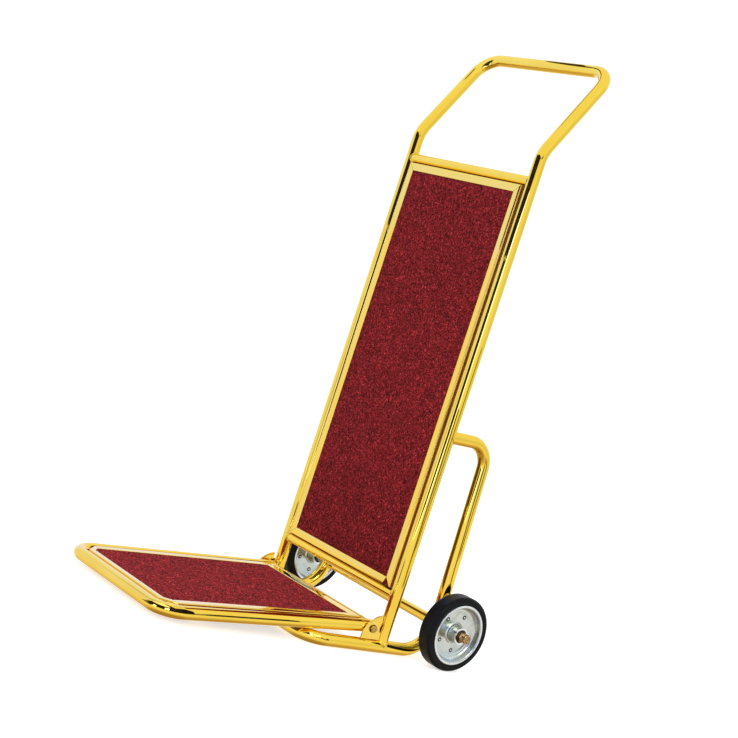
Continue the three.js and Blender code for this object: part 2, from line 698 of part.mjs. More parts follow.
function addWheel(group, side, sign) {
  const wheel = new THREE.Group();
  wheel.position.set(sign * WHEEL_X, AXLE_Y, AXLE_Z);
  // The wheel is turned about its own Y axis, which points outwards from the cart.
  wheel.rotation.z = (-sign * Math.PI) / 2;
  group.add(wheel);

  addMesh(wheel, `tyre_${side}`, turned(tyreProfile(), TYRE_SIDES), 'rubber');

  const drills = [];
  for (let i = 0; i < RIVET_HOLES; i += 1) {
    const angle = ((i + RIVET_PHASE[side]) / RIVET_HOLES) * Math.PI * 2;
    const [x, z] = [RIVET_CIRCLE_R * Math.cos(angle), RIVET_CIRCLE_R * Math.sin(angle)];
    drills.push(rod(vec(x, -20, z), vec(x, 20, z), RIVET_HOLE_R, 8));
  }
  const outerHalf = turned(rimProfile(), RIM_SIDES);
  const innerHalf = turned(rimProfile(), RIM_SIDES).rotateX(Math.PI);
  addMesh(wheel, `rim_outer_${side}`, cut(outerHalf, ...drills), 'zinc');
  addMesh(wheel, `rim_inner_${side}`, cut(innerHalf, ...drills), 'zinc');

  const hubProfile = [
    [HUB_BORE_R, -HUB_HALF_LENGTH],
    [HUB_R, -HUB_HALF_LENGTH],
    [HUB_R, HUB_HALF_LENGTH],
    [HUB_BORE_R, HUB_HALF_LENGTH],
  ];
  addMesh(wheel, `hub_tube_${side}`, turned(hubProfile, ROD_SIDES), 'zinc');

  const bearingLength = 12;
  const bearingInner = overFlats(AXLE_R + RUNNING_GAP);
  const bearingOuter = HUB_BORE_R * Math.cos(Math.PI / ROD_SIDES) - GAP;
  for (const [place, end] of [['outer', 1], ['inner', -1]]) {
    const ends = [end * HUB_HALF_LENGTH, end * (HUB_HALF_LENGTH - bearingLength)].sort((a, b) => a - b);
    const profile = [
      [bearingInner, ends[0]],
      [bearingOuter, ends[0]],
      [bearingOuter, ends[1]],
      [bearingInner, ends[1]],
    ];
    addMesh(wheel, `bearing_${place}_${side}`, turned(profile, ROD_SIDES), 'nylon');
  }
}

// ---------------------------------------------------------------- the whole cart

const layout = new THREE.Group();
addMainFrame(layout);
addBaseLoop(layout);
addAxle(layout);
addBrackets(layout);
addBackPanel(layout);
addPlatform(layout);
for (const { side, sign } of RIGHT_AND_LEFT) {
  addWheel(layout, side, sign);
}

// The origin is on the ground, under the middle of the cart's outline.
const extent = new THREE.Box3().setFromObject(layout, true);
layout.position.set(0, -(extent.min.y + extent.max.y) / 2, -extent.min.z);

const cart = new THREE.Group();
cart.add(layout);
cart.updateMatrixWorld(true);

export default cart;
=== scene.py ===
import math

import bmesh
import bpy
from mathutils import Matrix, Vector, noise


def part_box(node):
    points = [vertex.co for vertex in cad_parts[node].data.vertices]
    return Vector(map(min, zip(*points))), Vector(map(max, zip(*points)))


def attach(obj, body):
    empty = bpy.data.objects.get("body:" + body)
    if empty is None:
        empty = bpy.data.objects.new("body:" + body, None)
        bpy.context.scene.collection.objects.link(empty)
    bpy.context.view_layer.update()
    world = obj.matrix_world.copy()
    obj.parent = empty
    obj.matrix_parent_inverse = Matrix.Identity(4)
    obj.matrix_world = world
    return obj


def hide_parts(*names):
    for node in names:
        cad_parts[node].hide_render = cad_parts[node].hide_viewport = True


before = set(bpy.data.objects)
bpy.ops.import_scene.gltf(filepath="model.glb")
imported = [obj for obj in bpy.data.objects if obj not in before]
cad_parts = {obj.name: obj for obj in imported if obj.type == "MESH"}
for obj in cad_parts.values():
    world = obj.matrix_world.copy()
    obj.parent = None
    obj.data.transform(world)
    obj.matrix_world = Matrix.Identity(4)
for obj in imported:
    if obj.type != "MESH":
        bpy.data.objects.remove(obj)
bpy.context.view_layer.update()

# Folding luggage cart. Shapes are laid out in millimetres from the plane of the two uprights
# (y = 0) and the ground (z = 0); the matrices below carry them into the CAD frame, in metres.

# ---------------- places

axle_low, axle_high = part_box("axle_rod")
AXLE_Y = 126
AXLE_Z = 76.8
LAYOUT_SHIFT = (axle_low.y + axle_high.y) / 2 - AXLE_Y / 1000
LAYOUT = Matrix.Translation((0, LAYOUT_SHIFT, 0)) @ Matrix.Scale(0.001, 4)
AXLE = LAYOUT @ Matrix.Translation((0, AXLE_Y, AXLE_Z))
# The panel's own x, y and z are the cart's x, z and -y, from the face of its trims.
PANEL_FACE = -12.1
PANEL = LAYOUT @ Matrix.Translation((0, PANEL_FACE, 0)) @ Matrix.Rotation(math.pi / 2, 4, "X")
PIVOT_Y, PIVOT_Z = -37, 47.6
PLATFORM_SLOPE = math.radians(3.27)
PLATFORM = LAYOUT @ Matrix.Translation((0, PIVOT_Y, PIVOT_Z)) @ Matrix.Rotation(PLATFORM_SLOPE, 4, "X")
DECK_RISE = 12
DECK = PLATFORM @ Matrix.Translation((0, 0, DECK_RISE))
WHEEL_X = 242.6
SIDES = (("right", 1), ("left", -1))

TUBE_R = 12.5
LOOP_R = 13
CROSS_R = 10
AXLE_TUBE_R = 11
HALF_WIDTH = 188.2
PLATFORM_HALF_WIDTH = 176


def wheel_place(sign):
    """The wheel's own X points outwards from the cart."""
    turn = Matrix.Identity(4) if sign > 0 else Matrix.Rotation(math.pi, 4, "Z")
    return LAYOUT @ Matrix.Translation((sign * WHEEL_X, AXLE_Y, AXLE_Z)) @ turn


# ---------------- materials

# A colour Mix node's sockets are found by number, because its float sockets share their names.
MIX_FACTOR, MIX_A, MIX_B, MIX_RESULT = 0, 6, 7, 2


def start_material(name, **sockets):
    material = bpy.data.materials.new(name)
    material.use_nodes = True
    shader = material.node_tree.nodes["Principled BSDF"]
    for socket, value in sockets.items():
        shader.inputs[socket.replace("_", " ")].default_value = value
    return material, shader


def add(owner, kind, **settings):
    """A node in a material's or the world's tree; settings are its inputs or its own properties."""
    node = owner.node_tree.nodes.new(kind)
    for key, value in settings.items():
        if key in node.inputs:
            node.inputs[key].default_value = value
        else:
            setattr(node, key, value)
    return node


def link(owner, source, target):
    owner.node_tree.links.new(source, target)


def feed(owner, sockets, values):
    """Gives each socket a value, or links it to another node's output."""
    for socket, value in zip(sockets, values):
        if isinstance(value, bpy.types.NodeSocket):
            link(owner, value, socket)
        else:
            socket.default_value = value


def colour_mix(owner, blend, factor, first, second):
    node = add(owner, "ShaderNodeMix", data_type="RGBA", blend_type=blend)
    feed(owner, [node.inputs[i] for i in (MIX_FACTOR, MIX_A, MIX_B)], (factor, first, second))
    return node.outputs[MIX_RESULT]


def chosen(owner, ray, usual, other):
    """The usual shader, but the other one for rays of one kind."""
    node = add(owner, "ShaderNodeMixShader")
    feed(owner, node.inputs, (add(owner, "ShaderNodeLightPath").outputs[ray], usual, other))
    return node.outputs[0]


def object_noise(material, scale, detail=3, stretch=(1, 1, 1), roughness=0.5, distortion=0.0):
    """Noise in the object's own coordinates, in metres; scale is cycles per metre."""
    place = add(material, "ShaderNodeTexCoord")
    mapping = add(material, "ShaderNodeMapping", Scale=stretch)
    texture = add(material, "ShaderNodeTexNoise", Scale=scale, Detail=detail, Roughness=roughness,
                  Distortion=distortion)
    link(material, place.outputs["Object"], mapping.inputs["Vector"])
    link(material, mapping.outputs["Vector"], texture.inputs["Vector"])
    return texture.outputs["Fac"]


def ramp(material, source, stops):
    """A colour ramp over source; stops are (position, colour)."""
    node = add(material, "ShaderNodeValToRGB")
    elements = node.color_ramp.elements
    while len(elements) < len(stops):
        elements.new(0.5)
    for element, (position, colour) in zip(elements, stops):
        element.position = position
        element.color = (*colour, 1)
    link(material, source, node.inputs["Fac"])
    return node.outputs["Color"]


def spread(material, source, low, high):
    """The middle of a noise's range, where most of it lies, mapped to low..high."""
    node = add(material, "ShaderNodeMapRange")
    for socket, value in (("From Min", 0.3), ("From Max", 0.7), ("To Min", low), ("To Max", high)):
        node.inputs[socket].default_value = value
    link(material, source, node.inputs["Value"])
    return node.outputs["Result"]


def bump(material, shader, heights):
    """Chains bumps into the shader; heights are (source, distance in metres, strength)."""
    normal = None
    for source, distance, strength in heights:
        node = add(material, "ShaderNodeBump", Distance=distance, Strength=strength)
        link(material, source, node.inputs["Height"])
        if normal is not None:
            link(material, normal, node.inputs["Normal"])
        normal = node.outputs["Normal"]
    link(material, normal, shader.inputs["Normal"])


def make_finish(name, tone, colours, haze, rough, bumps, **sockets):
    """A finish from noises, given as object_noise settings.

    The tone noise picks the colours and the haze noise the roughness. The bumps are
    (noise, distance, strength), and their noise may be "tone" or "haze" to share that one.
    """
    material, shader = start_material(name, **sockets)
    noises = {"tone": object_noise(material, **tone)}
    noises["haze"] = object_noise(material, **haze) if haze else noises["tone"]
    link(material, ramp(material, noises["tone"], colours), shader.inputs["Base Color"])
    link(material, spread(material, noises["haze"], *rough), shader.inputs["Roughness"])
    heights = []
    for source, distance, strength in bumps:
        shared = isinstance(source, str)
        heights.append((noises[source] if shared else object_noise(material, **source), distance, strength))
    bump(material, shader, heights)
    return material


def metal(*settings):
    return make_finish(*settings, Metallic=1.0)


def grain(scale, detail=3, **more):
    """The settings of one object_noise."""
    return dict(scale=scale, detail=detail, **more)


def gold_finish(name, light, deep, rough, wave):
    scuffs = grain(900, 2, stretch=(1, 1, 0.25))
    return metal(name, grain(9, 2), ((0.35, deep), (0.65, light)), grain(55, roughness=0.6), rough,
                 ((grain(14, 1), 0.001, wave), (scuffs, 0.0001, 0.01)))


def carpet_finish(name, light, fleck_scale):
    """light brightens the pile as painted light: the upright panel's copy is painted darker and the
    upward-facing deck's copy lighter; fleck_scale is the dark threads' cycles per metre.
    """
    material, shader = start_material(name, Roughness=0.95, Specular_IOR_Level=0.05, Sheen_Weight=0.03,
                                      Sheen_Roughness=0.5, Sheen_Tint=(1.0, 0.6, 0.55, 1))
    tuft = object_noise(material, 230, detail=3, roughness=0.7, distortion=0.6)
    tones = ((0.34, (0.11, 0.005, 0.006)), (0.46, (0.25, 0.013, 0.016)),
             (0.56, (0.33, 0.020, 0.025)), (0.66, (0.62, 0.06, 0.07)))
    body = ramp(material, tuft, [(at, tuple(light * c for c in tone)) for at, tone in tones])
    threads = object_noise(material, fleck_scale, detail=2, roughness=0.6, distortion=2.0)
    dark, edge = (0.06, 0.12, 0.08), (0.28, 0.36, 0.33)
    flecks = ramp(material, threads, (
        (0.41, (1.2, 1.15, 1.15)), (0.46, edge), (0.50, dark), (0.54, edge), (0.59, (1.25, 1.2, 1.2))))
    blotch = object_noise(material, 70, detail=3)
    shade = ramp(material, blotch, ((0.3, (0.86, 0.9, 0.88)), (0.7, (1.08, 1.05, 1.05))))
    colour = colour_mix(material, "MULTIPLY", 1, colour_mix(material, "MULTIPLY", 1, body, flecks), shade)
    link(material, colour, shader.inputs["Base Color"])
    fibre = object_noise(material, 1300, detail=2)
    bump(material, shader, ((tuft, 0.0012, 0.8), (fibre, 0.0004, 0.6)))
    return material


FINISH = {
    "gold_tube": gold_finish("gold_tube_finish", (0.93, 0.66, 0.09), (0.91, 0.62, 0.07), (0.03, 0.07), 0.03),
    "gold_trim": gold_finish("gold_trim_finish", (0.94, 0.67, 0.13), (0.92, 0.64, 0.10), (0.05, 0.1), 0.02),
    "zinc": metal(
        "zinc_finish", grain(45, 4, distortion=0.6),
        ((0.3, (0.50, 0.56, 0.54)), (0.55, (0.60, 0.65, 0.64)), (0.75, (0.65, 0.67, 0.66))),
        grain(160, 4, roughness=0.6), (0.17, 0.27), ((grain(300, 2), 0.0002, 0.04),)),
    "steel": metal(
        "steel_finish", grain(150, 4), ((0.3, (0.42, 0.43, 0.43)), (0.7, (0.66, 0.67, 0.67))),
        grain(400), (0.22, 0.4), ((grain(1200, 2), 0.0001, 0.15),)),
    # Near-black steel: the axle washers' own colour, and also the painted shade rings round the rivets and
    # the painted shadow ring under each hinge bolt head.
    "dark_steel": metal(
        "dark_steel_finish", grain(300, 4), ((0.3, (0.035, 0.035, 0.03)), (0.7, (0.09, 0.085, 0.07))),
        None, (0.3, 0.45), ((grain(1200, 2), 0.0001, 0.15),)),
    # A lighter copy of the zinc for the rim lips and the hub end rings: painted highlight, for the bright
    # reflections these rounded edges catch.
    "bright": metal(
        "bright_finish", grain(120, 4, distortion=0.5),
        ((0.3, (0.72, 0.76, 0.80)), (0.7, (0.86, 0.89, 0.92))),
        grain(400), (0.2, 0.34), ((grain(700, 2), 0.0001, 0.1),)),
    "hub": metal(
        "hub_finish", grain(90, 4, stretch=(3, 1, 1), distortion=0.4),
        ((0.3, (0.32, 0.34, 0.26)), (0.7, (0.48, 0.50, 0.41))), None, (0.2, 0.32),
        ((grain(300, 2, stretch=(3, 1, 1)), 0.0002, 0.08),)),
    "brass": metal(
        "brass_finish", grain(250, 4), ((0.3, (0.30, 0.18, 0.05)), (0.7, (0.62, 0.42, 0.14))),
        None, (0.1, 0.22), ((grain(900, 2), 0.0002, 0.08),)),
    "copper_brass": metal(
        "copper_finish", grain(180, 5, distortion=0.8),
        ((0.3, (0.16, 0.085, 0.03)), (0.5, (0.42, 0.26, 0.10)), (0.72, (0.58, 0.39, 0.17))),
        grain(500), (0.14, 0.3), ((grain(900, 3), 0.0002, 0.1),)),
    # Lit and shaded copies of one carpet: light 0.86 paints the panel's darker and 1.42 paints the deck's
    # lighter, as painted shade and painted light.
    "carpet": carpet_finish("panel_carpet_painted_shade_finish", 0.86, 165),
    "deck_carpet": carpet_finish("deck_carpet_painted_light_finish", 1.42, 110),
    "plywood": make_finish(
        "plywood_finish", grain(60, 6, stretch=(8, 1, 0.25), roughness=0.6, distortion=0.4),
        ((0.3, (0.060, 0.024, 0.010)), (0.5, (0.115, 0.052, 0.022)), (0.7, (0.17, 0.085, 0.038))),
        grain(500, 3, stretch=(3, 1, 0.15)), (0.45, 0.7),
        (("haze", 0.0004, 0.5), ("tone", 0.0004, 0.3))),
    "tyre": make_finish(
        "rubber_finish", grain(70, 5, roughness=0.65),
        ((0.3, (0.002, 0.0021, 0.0027)), (0.75, (0.006, 0.006, 0.0075))), grain(160, 4), (0.3, 0.45),
        ((grain(1100, 2), 0.0002, 0.25), ("tone", 0.0006, 0.25)), Specular_IOR_Level=0.1),
    "nylon": make_finish(
        "nylon_finish", grain(240, 3), ((0.3, (0.012, 0.012, 0.012)), (0.7, (0.03, 0.03, 0.028))),
        None, (0.35, 0.5), ((grain(1500, 1), 0.0001, 0.2),)),
}

# ---------------- mesh helpers


def linked(name, data):
    obj = bpy.data.objects.new(name, data)
    bpy.context.scene.collection.objects.link(obj)
    return obj


def outward_mesh(name, part, place):
    """A mesh of one (vertices, faces) part, carried by place, with its faces pointing outwards."""
    mesh = bpy.data.meshes.new(name)
    mesh.from_pydata([tuple(v) for v in part[0]], [], part[1])
    mesh.transform(place)
    work = bmesh.new()
    work.from_mesh(mesh)
    bmesh.ops.recalc_face_normals(work, faces=work.faces)
    work.to_mesh(mesh)
    work.free()
    return mesh


def piece(name, mesh_parts, place, body, slot, replaces=(), smooth=32, finish=None):
    """One visible piece from (vertices, faces) parts, in place and riding on its body.

    smooth is the sharpest angle in degrees that is still shaded round.
    """
    mesh = outward_mesh(name, merged(mesh_parts), place)
    mesh.shade_smooth()
    mesh.set_sharp_from_angle(angle=math.radians(smooth))
    obj = linked(name, mesh)
    mesh.materials.append(FINISH[finish or slot])
    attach(obj, body)
    if replaces:
        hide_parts(*replaces)


def stand_in(node, mesh_parts, place, body, slot, **settings):
    """A piece that takes the place of the CAD node it is named after."""
    piece(f"{node}_visual", mesh_parts, place, body, slot, [node], **settings)


def merged(parts):
    """Several (vertices, faces) as one."""
    verts, faces = [], []
    for part_verts, part_faces in parts:
        start = len(verts)
        verts.extend(part_verts)
        faces.extend([tuple(i + start for i in face) for face in part_faces])
    return verts, faces


def skin(rings, size, joined=False, capped=True):
    """The faces between rings of size points each; joined closes the last ring to the first."""
    faces = []
    for ring in range(rings if joined else rings - 1):
        a, b = ring * size, (ring + 1) % rings * size
        for k in range(size):
            n = (k + 1) % size
            faces.append((a + k, a + n, b + n, b + k))
    if capped:
        faces.append(tuple(reversed(range(size))))
        faces.append(tuple((rings - 1) * size + k for k in range(size)))
    return faces


def round_steps(count):
    """Cosine and sine of count even steps of a turn."""
    for k in range(count):
        angle = 2 * math.pi * k / count
        yield math.cos(angle), math.sin(angle)


def moved(part, matrix):
    return [matrix @ Vector(v) for v in part[0]], part[1]


def bent_path(corners, radii, step=4.0):
    """Points and tangents along straights joined by round bends."""
    corners = [Vector(c) for c in corners]
    first = (corners[1] - corners[0]).normalized()
    points, tangents = [corners[0]], [first]
    for i, radius in enumerate(radii):
        before, corner, after = corners[i:i + 3]
        into, out = (corner - before).normalized(), (after - corner).normalized()
        turn = into.angle(out)
        inward = (out - into * into.dot(out)).normalized()
        start = corner - into * radius * math.tan(turn / 2)
        centre = start + inward * radius
        count = max(3, math.ceil(math.degrees(turn) / step))
        for k in range(count + 1):
            angle = turn * k / count
            points.append(centre - inward * radius * math.cos(angle) + into * radius * math.sin(angle))
            tangents.append(into * math.cos(angle) + inward * math.sin(angle))
    points.append(corners[-1])
    tangents.append((corners[-1] - corners[-2]).normalized())
    return points, tangents


def sweep(points, tangents, radius, sides=40):
    """A round bar along a path, with closed ends and frames that don't twist."""
    tangent = tangents[0]
    across = tangent.orthogonal().normalized()
    verts = []
    for point, next_tangent in zip(points, tangents):
        across = tangent.rotation_difference(next_tangent) @ across
        across = (across - next_tangent * across.dot(next_tangent)).normalized()
        tangent = next_tangent
        other = tangent.cross(across)
        verts += [point + across * radius * c + other * radius * s for c, s in round_steps(sides)]
    return verts, skin(len(points), sides)


def meet(verts, ring, direction, through, along, radius):
    """Moves the ring's points along direction until they touch a round tube's surface."""
    direction, along, through = direction.normalized(), Vector(along).normalized(), Vector(through)
    flat = direction - along * direction.dot(along)
    for i in ring:
        gap = verts[i] - through
        gap = gap - along * gap.dot(along)
        a, b, c = flat.dot(flat), 2 * gap.dot(flat), gap.dot(gap) - radius * radius
        inside = max(0.0, b * b - 4 * a * c)
        verts[i] = verts[i] + direction * ((-b - math.sqrt(inside)) / (2 * a))


def bead(ring_points, centre_direction, radius):
    """A weld bead: a thin bar round a closed line of points."""
    count, sides, ripples, depth = len(ring_points), 10, 24, 0.07
    verts = []
    for i, point in enumerate(ring_points):
        tangent = (ring_points[(i + 1) % count] - ring_points[i - 1]).normalized()
        outward = (centre_direction - tangent * centre_direction.dot(tangent)).normalized()
        other = tangent.cross(outward)
        size = radius * (1 + depth * math.sin(2 * math.pi * ripples * i / count))
        verts += [point + outward * size * c + other * size * s for c, s in round_steps(sides)]
    return verts, skin(count, sides, joined=True, capped=False)


def coped_bar(start, end, radius, sides=40, from_tube=None, to_tube=None):
    """A straight bar whose ends are cut to sit on round tubes, given as (through, along, radius)."""
    start, end = Vector(start), Vector(end)
    along = (end - start).normalized()
    stations = [start, start.lerp(end, 0.08), start.lerp(end, 0.92), end]
    verts, faces = sweep(stations, [along] * 4, radius, sides)
    if from_tube:
        meet(verts, range(sides), -along, *from_tube)
    if to_tube:
        meet(verts, range(3 * sides, 4 * sides), along, *to_tube)
    return verts, faces


def weld_at(start, direction, radius, tube, size=1.7):
    """The bead where a round bar of that radius, running along direction, meets a tube."""
    direction = Vector(direction).normalized()
    across = direction.orthogonal().normalized()
    other = direction.cross(across)
    ring = [Vector(start) + (across * c + other * s) * (radius + 0.2) for c, s in round_steps(72)]
    meet(ring, range(len(ring)), direction, *tube)
    return bead(ring, direction, size)


def welds(name, start, radius, tube_at, place, body, size=1.7):
    """The beads at both ends of a bar that runs across the cart through start on the right side."""
    for side_name, sign in SIDES:
        weld = weld_at((sign * start[0], *start[1:]), (sign, 0, 0), radius, tube_at(sign), size)
        piece(f"weld_{name}_{side_name}", [weld], place, body, "gold_tube")


def lathe(profile, segments=96, way=1, closed=True):
    """A round of (radius, along X) points about the X axis; way -1 mirrors it in X."""
    verts = [Vector((way * x, radius * c, radius * s))
             for c, s in round_steps(segments) for radius, x in profile]
    count = len(profile)
    faces = skin(segments, count, joined=True, capped=False)
    if not closed:
        faces = [f for i, f in enumerate(faces) if i % count < count - 1]
        faces.append(tuple(s * count for s in range(segments)))
        faces.append(tuple(reversed([s * count + count - 1 for s in range(segments)])))
    return verts, faces


def arc(centre, radius, start, end, steps):
    """Points of a round corner, as (first, second) coordinates; angles in degrees."""
    made = []
    for k in range(steps + 1):
        angle = math.radians(start + (end - start) * k / steps)
        made.append((centre[0] + radius * math.cos(angle), centre[1] + radius * math.sin(angle)))
    return made


def prism(outline, low, high, edge=0.0, steps=2):
    """A slab over an outline of (x, y) points from z low to high, its rims rounded by edge."""
    outline = [Vector((x, y)) for x, y in outline]
    levels = [(0.0, low), (0.0, high)]
    if edge:
        levels = []
        for k in range(steps + 1):
            angle = math.pi / 2 * k / steps
            levels.append((edge * (1 - math.sin(angle)), low + edge * (1 - math.cos(angle))))
        levels += [(inset, low + high - z) for inset, z in reversed(levels)]
    count = len(outline)
    verts = [Vector((x, y, z)) for inset, z in levels for x, y in inset_outline(outline, [inset] * count)]
    return verts, skin(len(levels), count)


def collar(bore, radius, start, end, chamfer):
    """A lathe profile for a plain ring with its outer edges chamfered."""
    return [(bore, start), (radius - chamfer, start), (radius, start + chamfer),
            (radius, end - chamfer), (radius - chamfer, end), (bore, end)]


def inset_outline(points, insets):
    """An anticlockwise outline moved inwards, side by side; side i runs from point i to i + 1."""
    count = len(points)
    sides = []
    for i, point in enumerate(points):
        along = (points[(i + 1) % count] - point).normalized()
        sides.append((point + Vector((-along.y, along.x)) * insets[i], along))
    made = []
    for i, (start, along) in enumerate(sides):
        before_start, before_along = sides[i - 1]
        cross = before_along.cross(along)
        if abs(cross) < 1e-6:
            made.append(start)
        else:
            reach = (start - before_start).cross(along) / cross
            made.append(before_start + before_along * reach)
    return made


def boolean(first, second, operation):
    """The (vertices, faces) of one part cut, joined or crossed with another."""
    here = Matrix.Identity(4)
    objects = [linked("boolean", outward_mesh("boolean", part, here)) for part in (first, second)]
    modifier = objects[0].modifiers.new("boolean", "BOOLEAN")
    modifier.operation, modifier.object, modifier.solver = operation, objects[1], "EXACT"
    evaluated = objects[0].evaluated_get(bpy.context.evaluated_depsgraph_get())
    result = bpy.data.meshes.new_from_object(evaluated)
    made = [v.co.copy() for v in result.vertices], [tuple(p.vertices) for p in result.polygons]
    for obj in objects:
        bpy.data.objects.remove(obj)
    return made


def drilled(part, start, end, radius, sides=24):
    return boolean(part, bar_between(start, end, radius, sides), "DIFFERENCE")


def bar_between(start, end, radius, sides=24):
    start, end = Vector(start), Vector(end)
    along = (end - start).normalized()
    return sweep([start, end], [along, along], radius, sides)


# ---------------- main frame

SHOULDER_Z = 1020.6
HANDLE_ARM = 232.2
HANDLE_LEAN = math.radians(29.9)
HANDLE_Y = HANDLE_ARM * math.sin(HANDLE_LEAN)
HANDLE_Z = SHOULDER_Z + HANDLE_ARM * math.cos(HANDLE_LEAN)
SHOULDER_BEND, HANDLE_BEND = 70, 48
CROSS_LEVELS = (("upper", 963.7), ("lower", 116.5))
GROUND_Z = 13
TUBE_SIDES = 48


def mirrored(side):
    return side + [(-x, y, z) for x, y, z in reversed(side)]


def upright(sign):
    return (sign * HALF_WIDTH, 0, 0), (0, 0, 1), TUBE_R


def ground_tube(sign):
    return (sign * HALF_WIDTH, 0, GROUND_Z), (0, 1, 0), LOOP_R


def coped_loop(side, bends, radius, direction, tube_at):
    """A tube bent alike on both sides, its ends running along direction onto the tubes tube_at gives."""
    points, tangents = bent_path(mirrored(side), bends + bends[::-1])
    verts, faces = sweep(points, tangents, radius, TUBE_SIDES)
    for sign, first in ((1, 0), (-1, len(verts) - TUBE_SIDES)):
        meet(verts, range(first, first + TUBE_SIDES), direction, *tube_at(sign))
    return verts, faces


def make_main_frame():
    side = [(HALF_WIDTH, 0, 30), (HALF_WIDTH, 0, SHOULDER_Z), (HALF_WIDTH, HANDLE_Y, HANDLE_Z)]
    tube = coped_loop(side, [SHOULDER_BEND, HANDLE_BEND], TUBE_R, Vector((0, 0, -1)), ground_tube)
    stand_in("main_frame_tube", [tube], LAYOUT, "frame", "gold_tube")
    for name, z in CROSS_LEVELS:
        bar = coped_bar((-150, 0, z), (150, 0, z), CROSS_R, from_tube=upright(-1), to_tube=upright(1))
        stand_in(f"{name}_cross_tube", [bar], LAYOUT, "frame", "gold_tube")
        welds(f"{name}_cross", (100, 0, z), CROSS_R, upright, LAYOUT, "frame")
    for side_name, sign in SIDES:
        weld = weld_at((sign * HALF_WIDTH, 0, 60), (0, 0, -1), TUBE_R, ground_tube(sign), size=1.9)
        piece(f"weld_upright_foot_{side_name}", [weld], LAYOUT, "frame", "gold_tube")


# ---------------- base loop and axle

REAR_TOP_Y, REAR_TOP_Z = 113.2, 448.7
REAR_FOOT_Y = 128.6
FRONT_Y = -186
STUB_BEND, REAR_BEND, FRONT_BEND = 50, 70, 46
STUB = Vector((0, -1, -0.03))


def rear_tube(sign):
    """The rear tube in the axle's own place, where it passes through the origin's height."""
    return (sign * HALF_WIDTH, 0, 0), (0, REAR_FOOT_Y - REAR_TOP_Y, GROUND_Z - REAR_TOP_Z), LOOP_R


def make_base_loop():
    side = [
        (HALF_WIDTH, 20, 445.9),
        (HALF_WIDTH, REAR_TOP_Y, REAR_TOP_Z),
        (HALF_WIDTH, REAR_FOOT_Y, GROUND_Z),
        (HALF_WIDTH, FRONT_Y, GROUND_Z),
    ]
    tube = coped_loop(side, [STUB_BEND, REAR_BEND, FRONT_BEND], LOOP_R, STUB, upright)
    piece("base_loop_visual", [tube], LAYOUT, "frame", "gold_tube", ["base_loop_tube"])
    for side_name, sign in SIDES:
        weld = weld_at((sign * HALF_WIDTH, 40, 446.6), STUB, LOOP_R - 0.7, upright(sign), size=1.9)
        piece(f"weld_stub_{side_name}", [weld], LAYOUT, "frame", "gold_tube")


def thread(radius, start, end, pitch, depth, segments=32, per_turn=8):
    """A threaded rod along X, with a chamfered free end at end."""
    rings = max(2, int(abs(end - start) / (pitch / per_turn)))
    chamfer = 1.4
    verts = []
    for i in range(rings + 1):
        x = start + (end - start) * i / rings
        for s, (across, up) in enumerate(round_steps(segments)):
            phase = (abs(x - start) / pitch + s / segments) % 1
            crest = 1 - abs(2 * phase - 1)
            size = radius - depth * min(1, 1.35 * crest)
            size = min(size, radius - 0.7 * max(0, chamfer - abs(end - x)))
            verts.append(Vector((x, size * across, size * up)))
    return verts, skin(rings + 1, segments)


def hexagon(start, end, radius):
    """A hexagonal prism along X whose free end has its corners turned off."""
    ring = [(radius * c, radius * s) for c, s in round_steps(6)]
    sign = 1 if end > start else -1
    inside = start - sign
    flat = radius * math.cos(math.pi / 6) * 0.97
    drop = (radius - flat) * 1.2
    turned = [(radius + 1, inside), (radius + 1, end - sign * drop), (flat, end), (0.01, end), (0.01, inside)]
    sharp = [Vector((x, y, z)) for x in (start, end) for y, z in ring], skin(2, 6)
    return boolean(sharp, lathe(turned, 64), "INTERSECT")


ROD_R = 6
NUT_COLLAR = ((0.01, 273), (8.4, 273), (8.4, 277.8), (9.1, 278.4), (9.4, 279.2), (9.4, 284.2), (9.1, 285.2),
              (8.3, 285.9), (7.4, 286.2), (0.01, 286.2))


def make_axle():
    bar = coped_bar((-140, 0, 0), (140, 0, 0), AXLE_TUBE_R, from_tube=rear_tube(-1), to_tube=rear_tube(1))
    stand_in("axle_tube", [bar], AXLE, "frame", "gold_tube")
    rod = [bar_between((-276, 0, 0), (276, 0, 0), ROD_R, 40)]
    for sign in (1, -1):
        dimple = lathe([(0.01, 283.4), (2.4, 288)], 24, sign, closed=False)
        rod.append(boolean(thread(ROD_R, sign * 274, sign * 286.6, 1.75, 0.85), dimple, "DIFFERENCE"))
    stand_in("axle_rod", rod, AXLE, "frame", "copper_brass")
    welds("axle", (120, 0, 0), AXLE_TUBE_R, rear_tube, AXLE, "frame")
    for side_name, sign in SIDES:
        spacer = lathe(collar(6.3, 9, 201.5, 217.9, 0.6), 48, sign)
        stand_in(f"axle_spacer_{side_name}", [spacer], AXLE, "frame", "steel")
        washer = lathe(collar(6.2, 11.8, 267.3, 269.2, 0.5), 64, sign)
        stand_in(f"axle_washer_{side_name}", [washer], AXLE, "frame", "steel", finish="dark_steel")
        nut = boolean(hexagon(sign * 269.6, sign * 277.4, 10.4), lathe(NUT_COLLAR, 48, sign), "UNION")
        nut = drilled(nut, (sign * 268, 0, 0), (sign * 288, 0, 0), 6.15, 32)
        stand_in(f"axle_nut_{side_name}", [nut], AXLE, "frame", "copper_brass")


# ---------------- hinge brackets

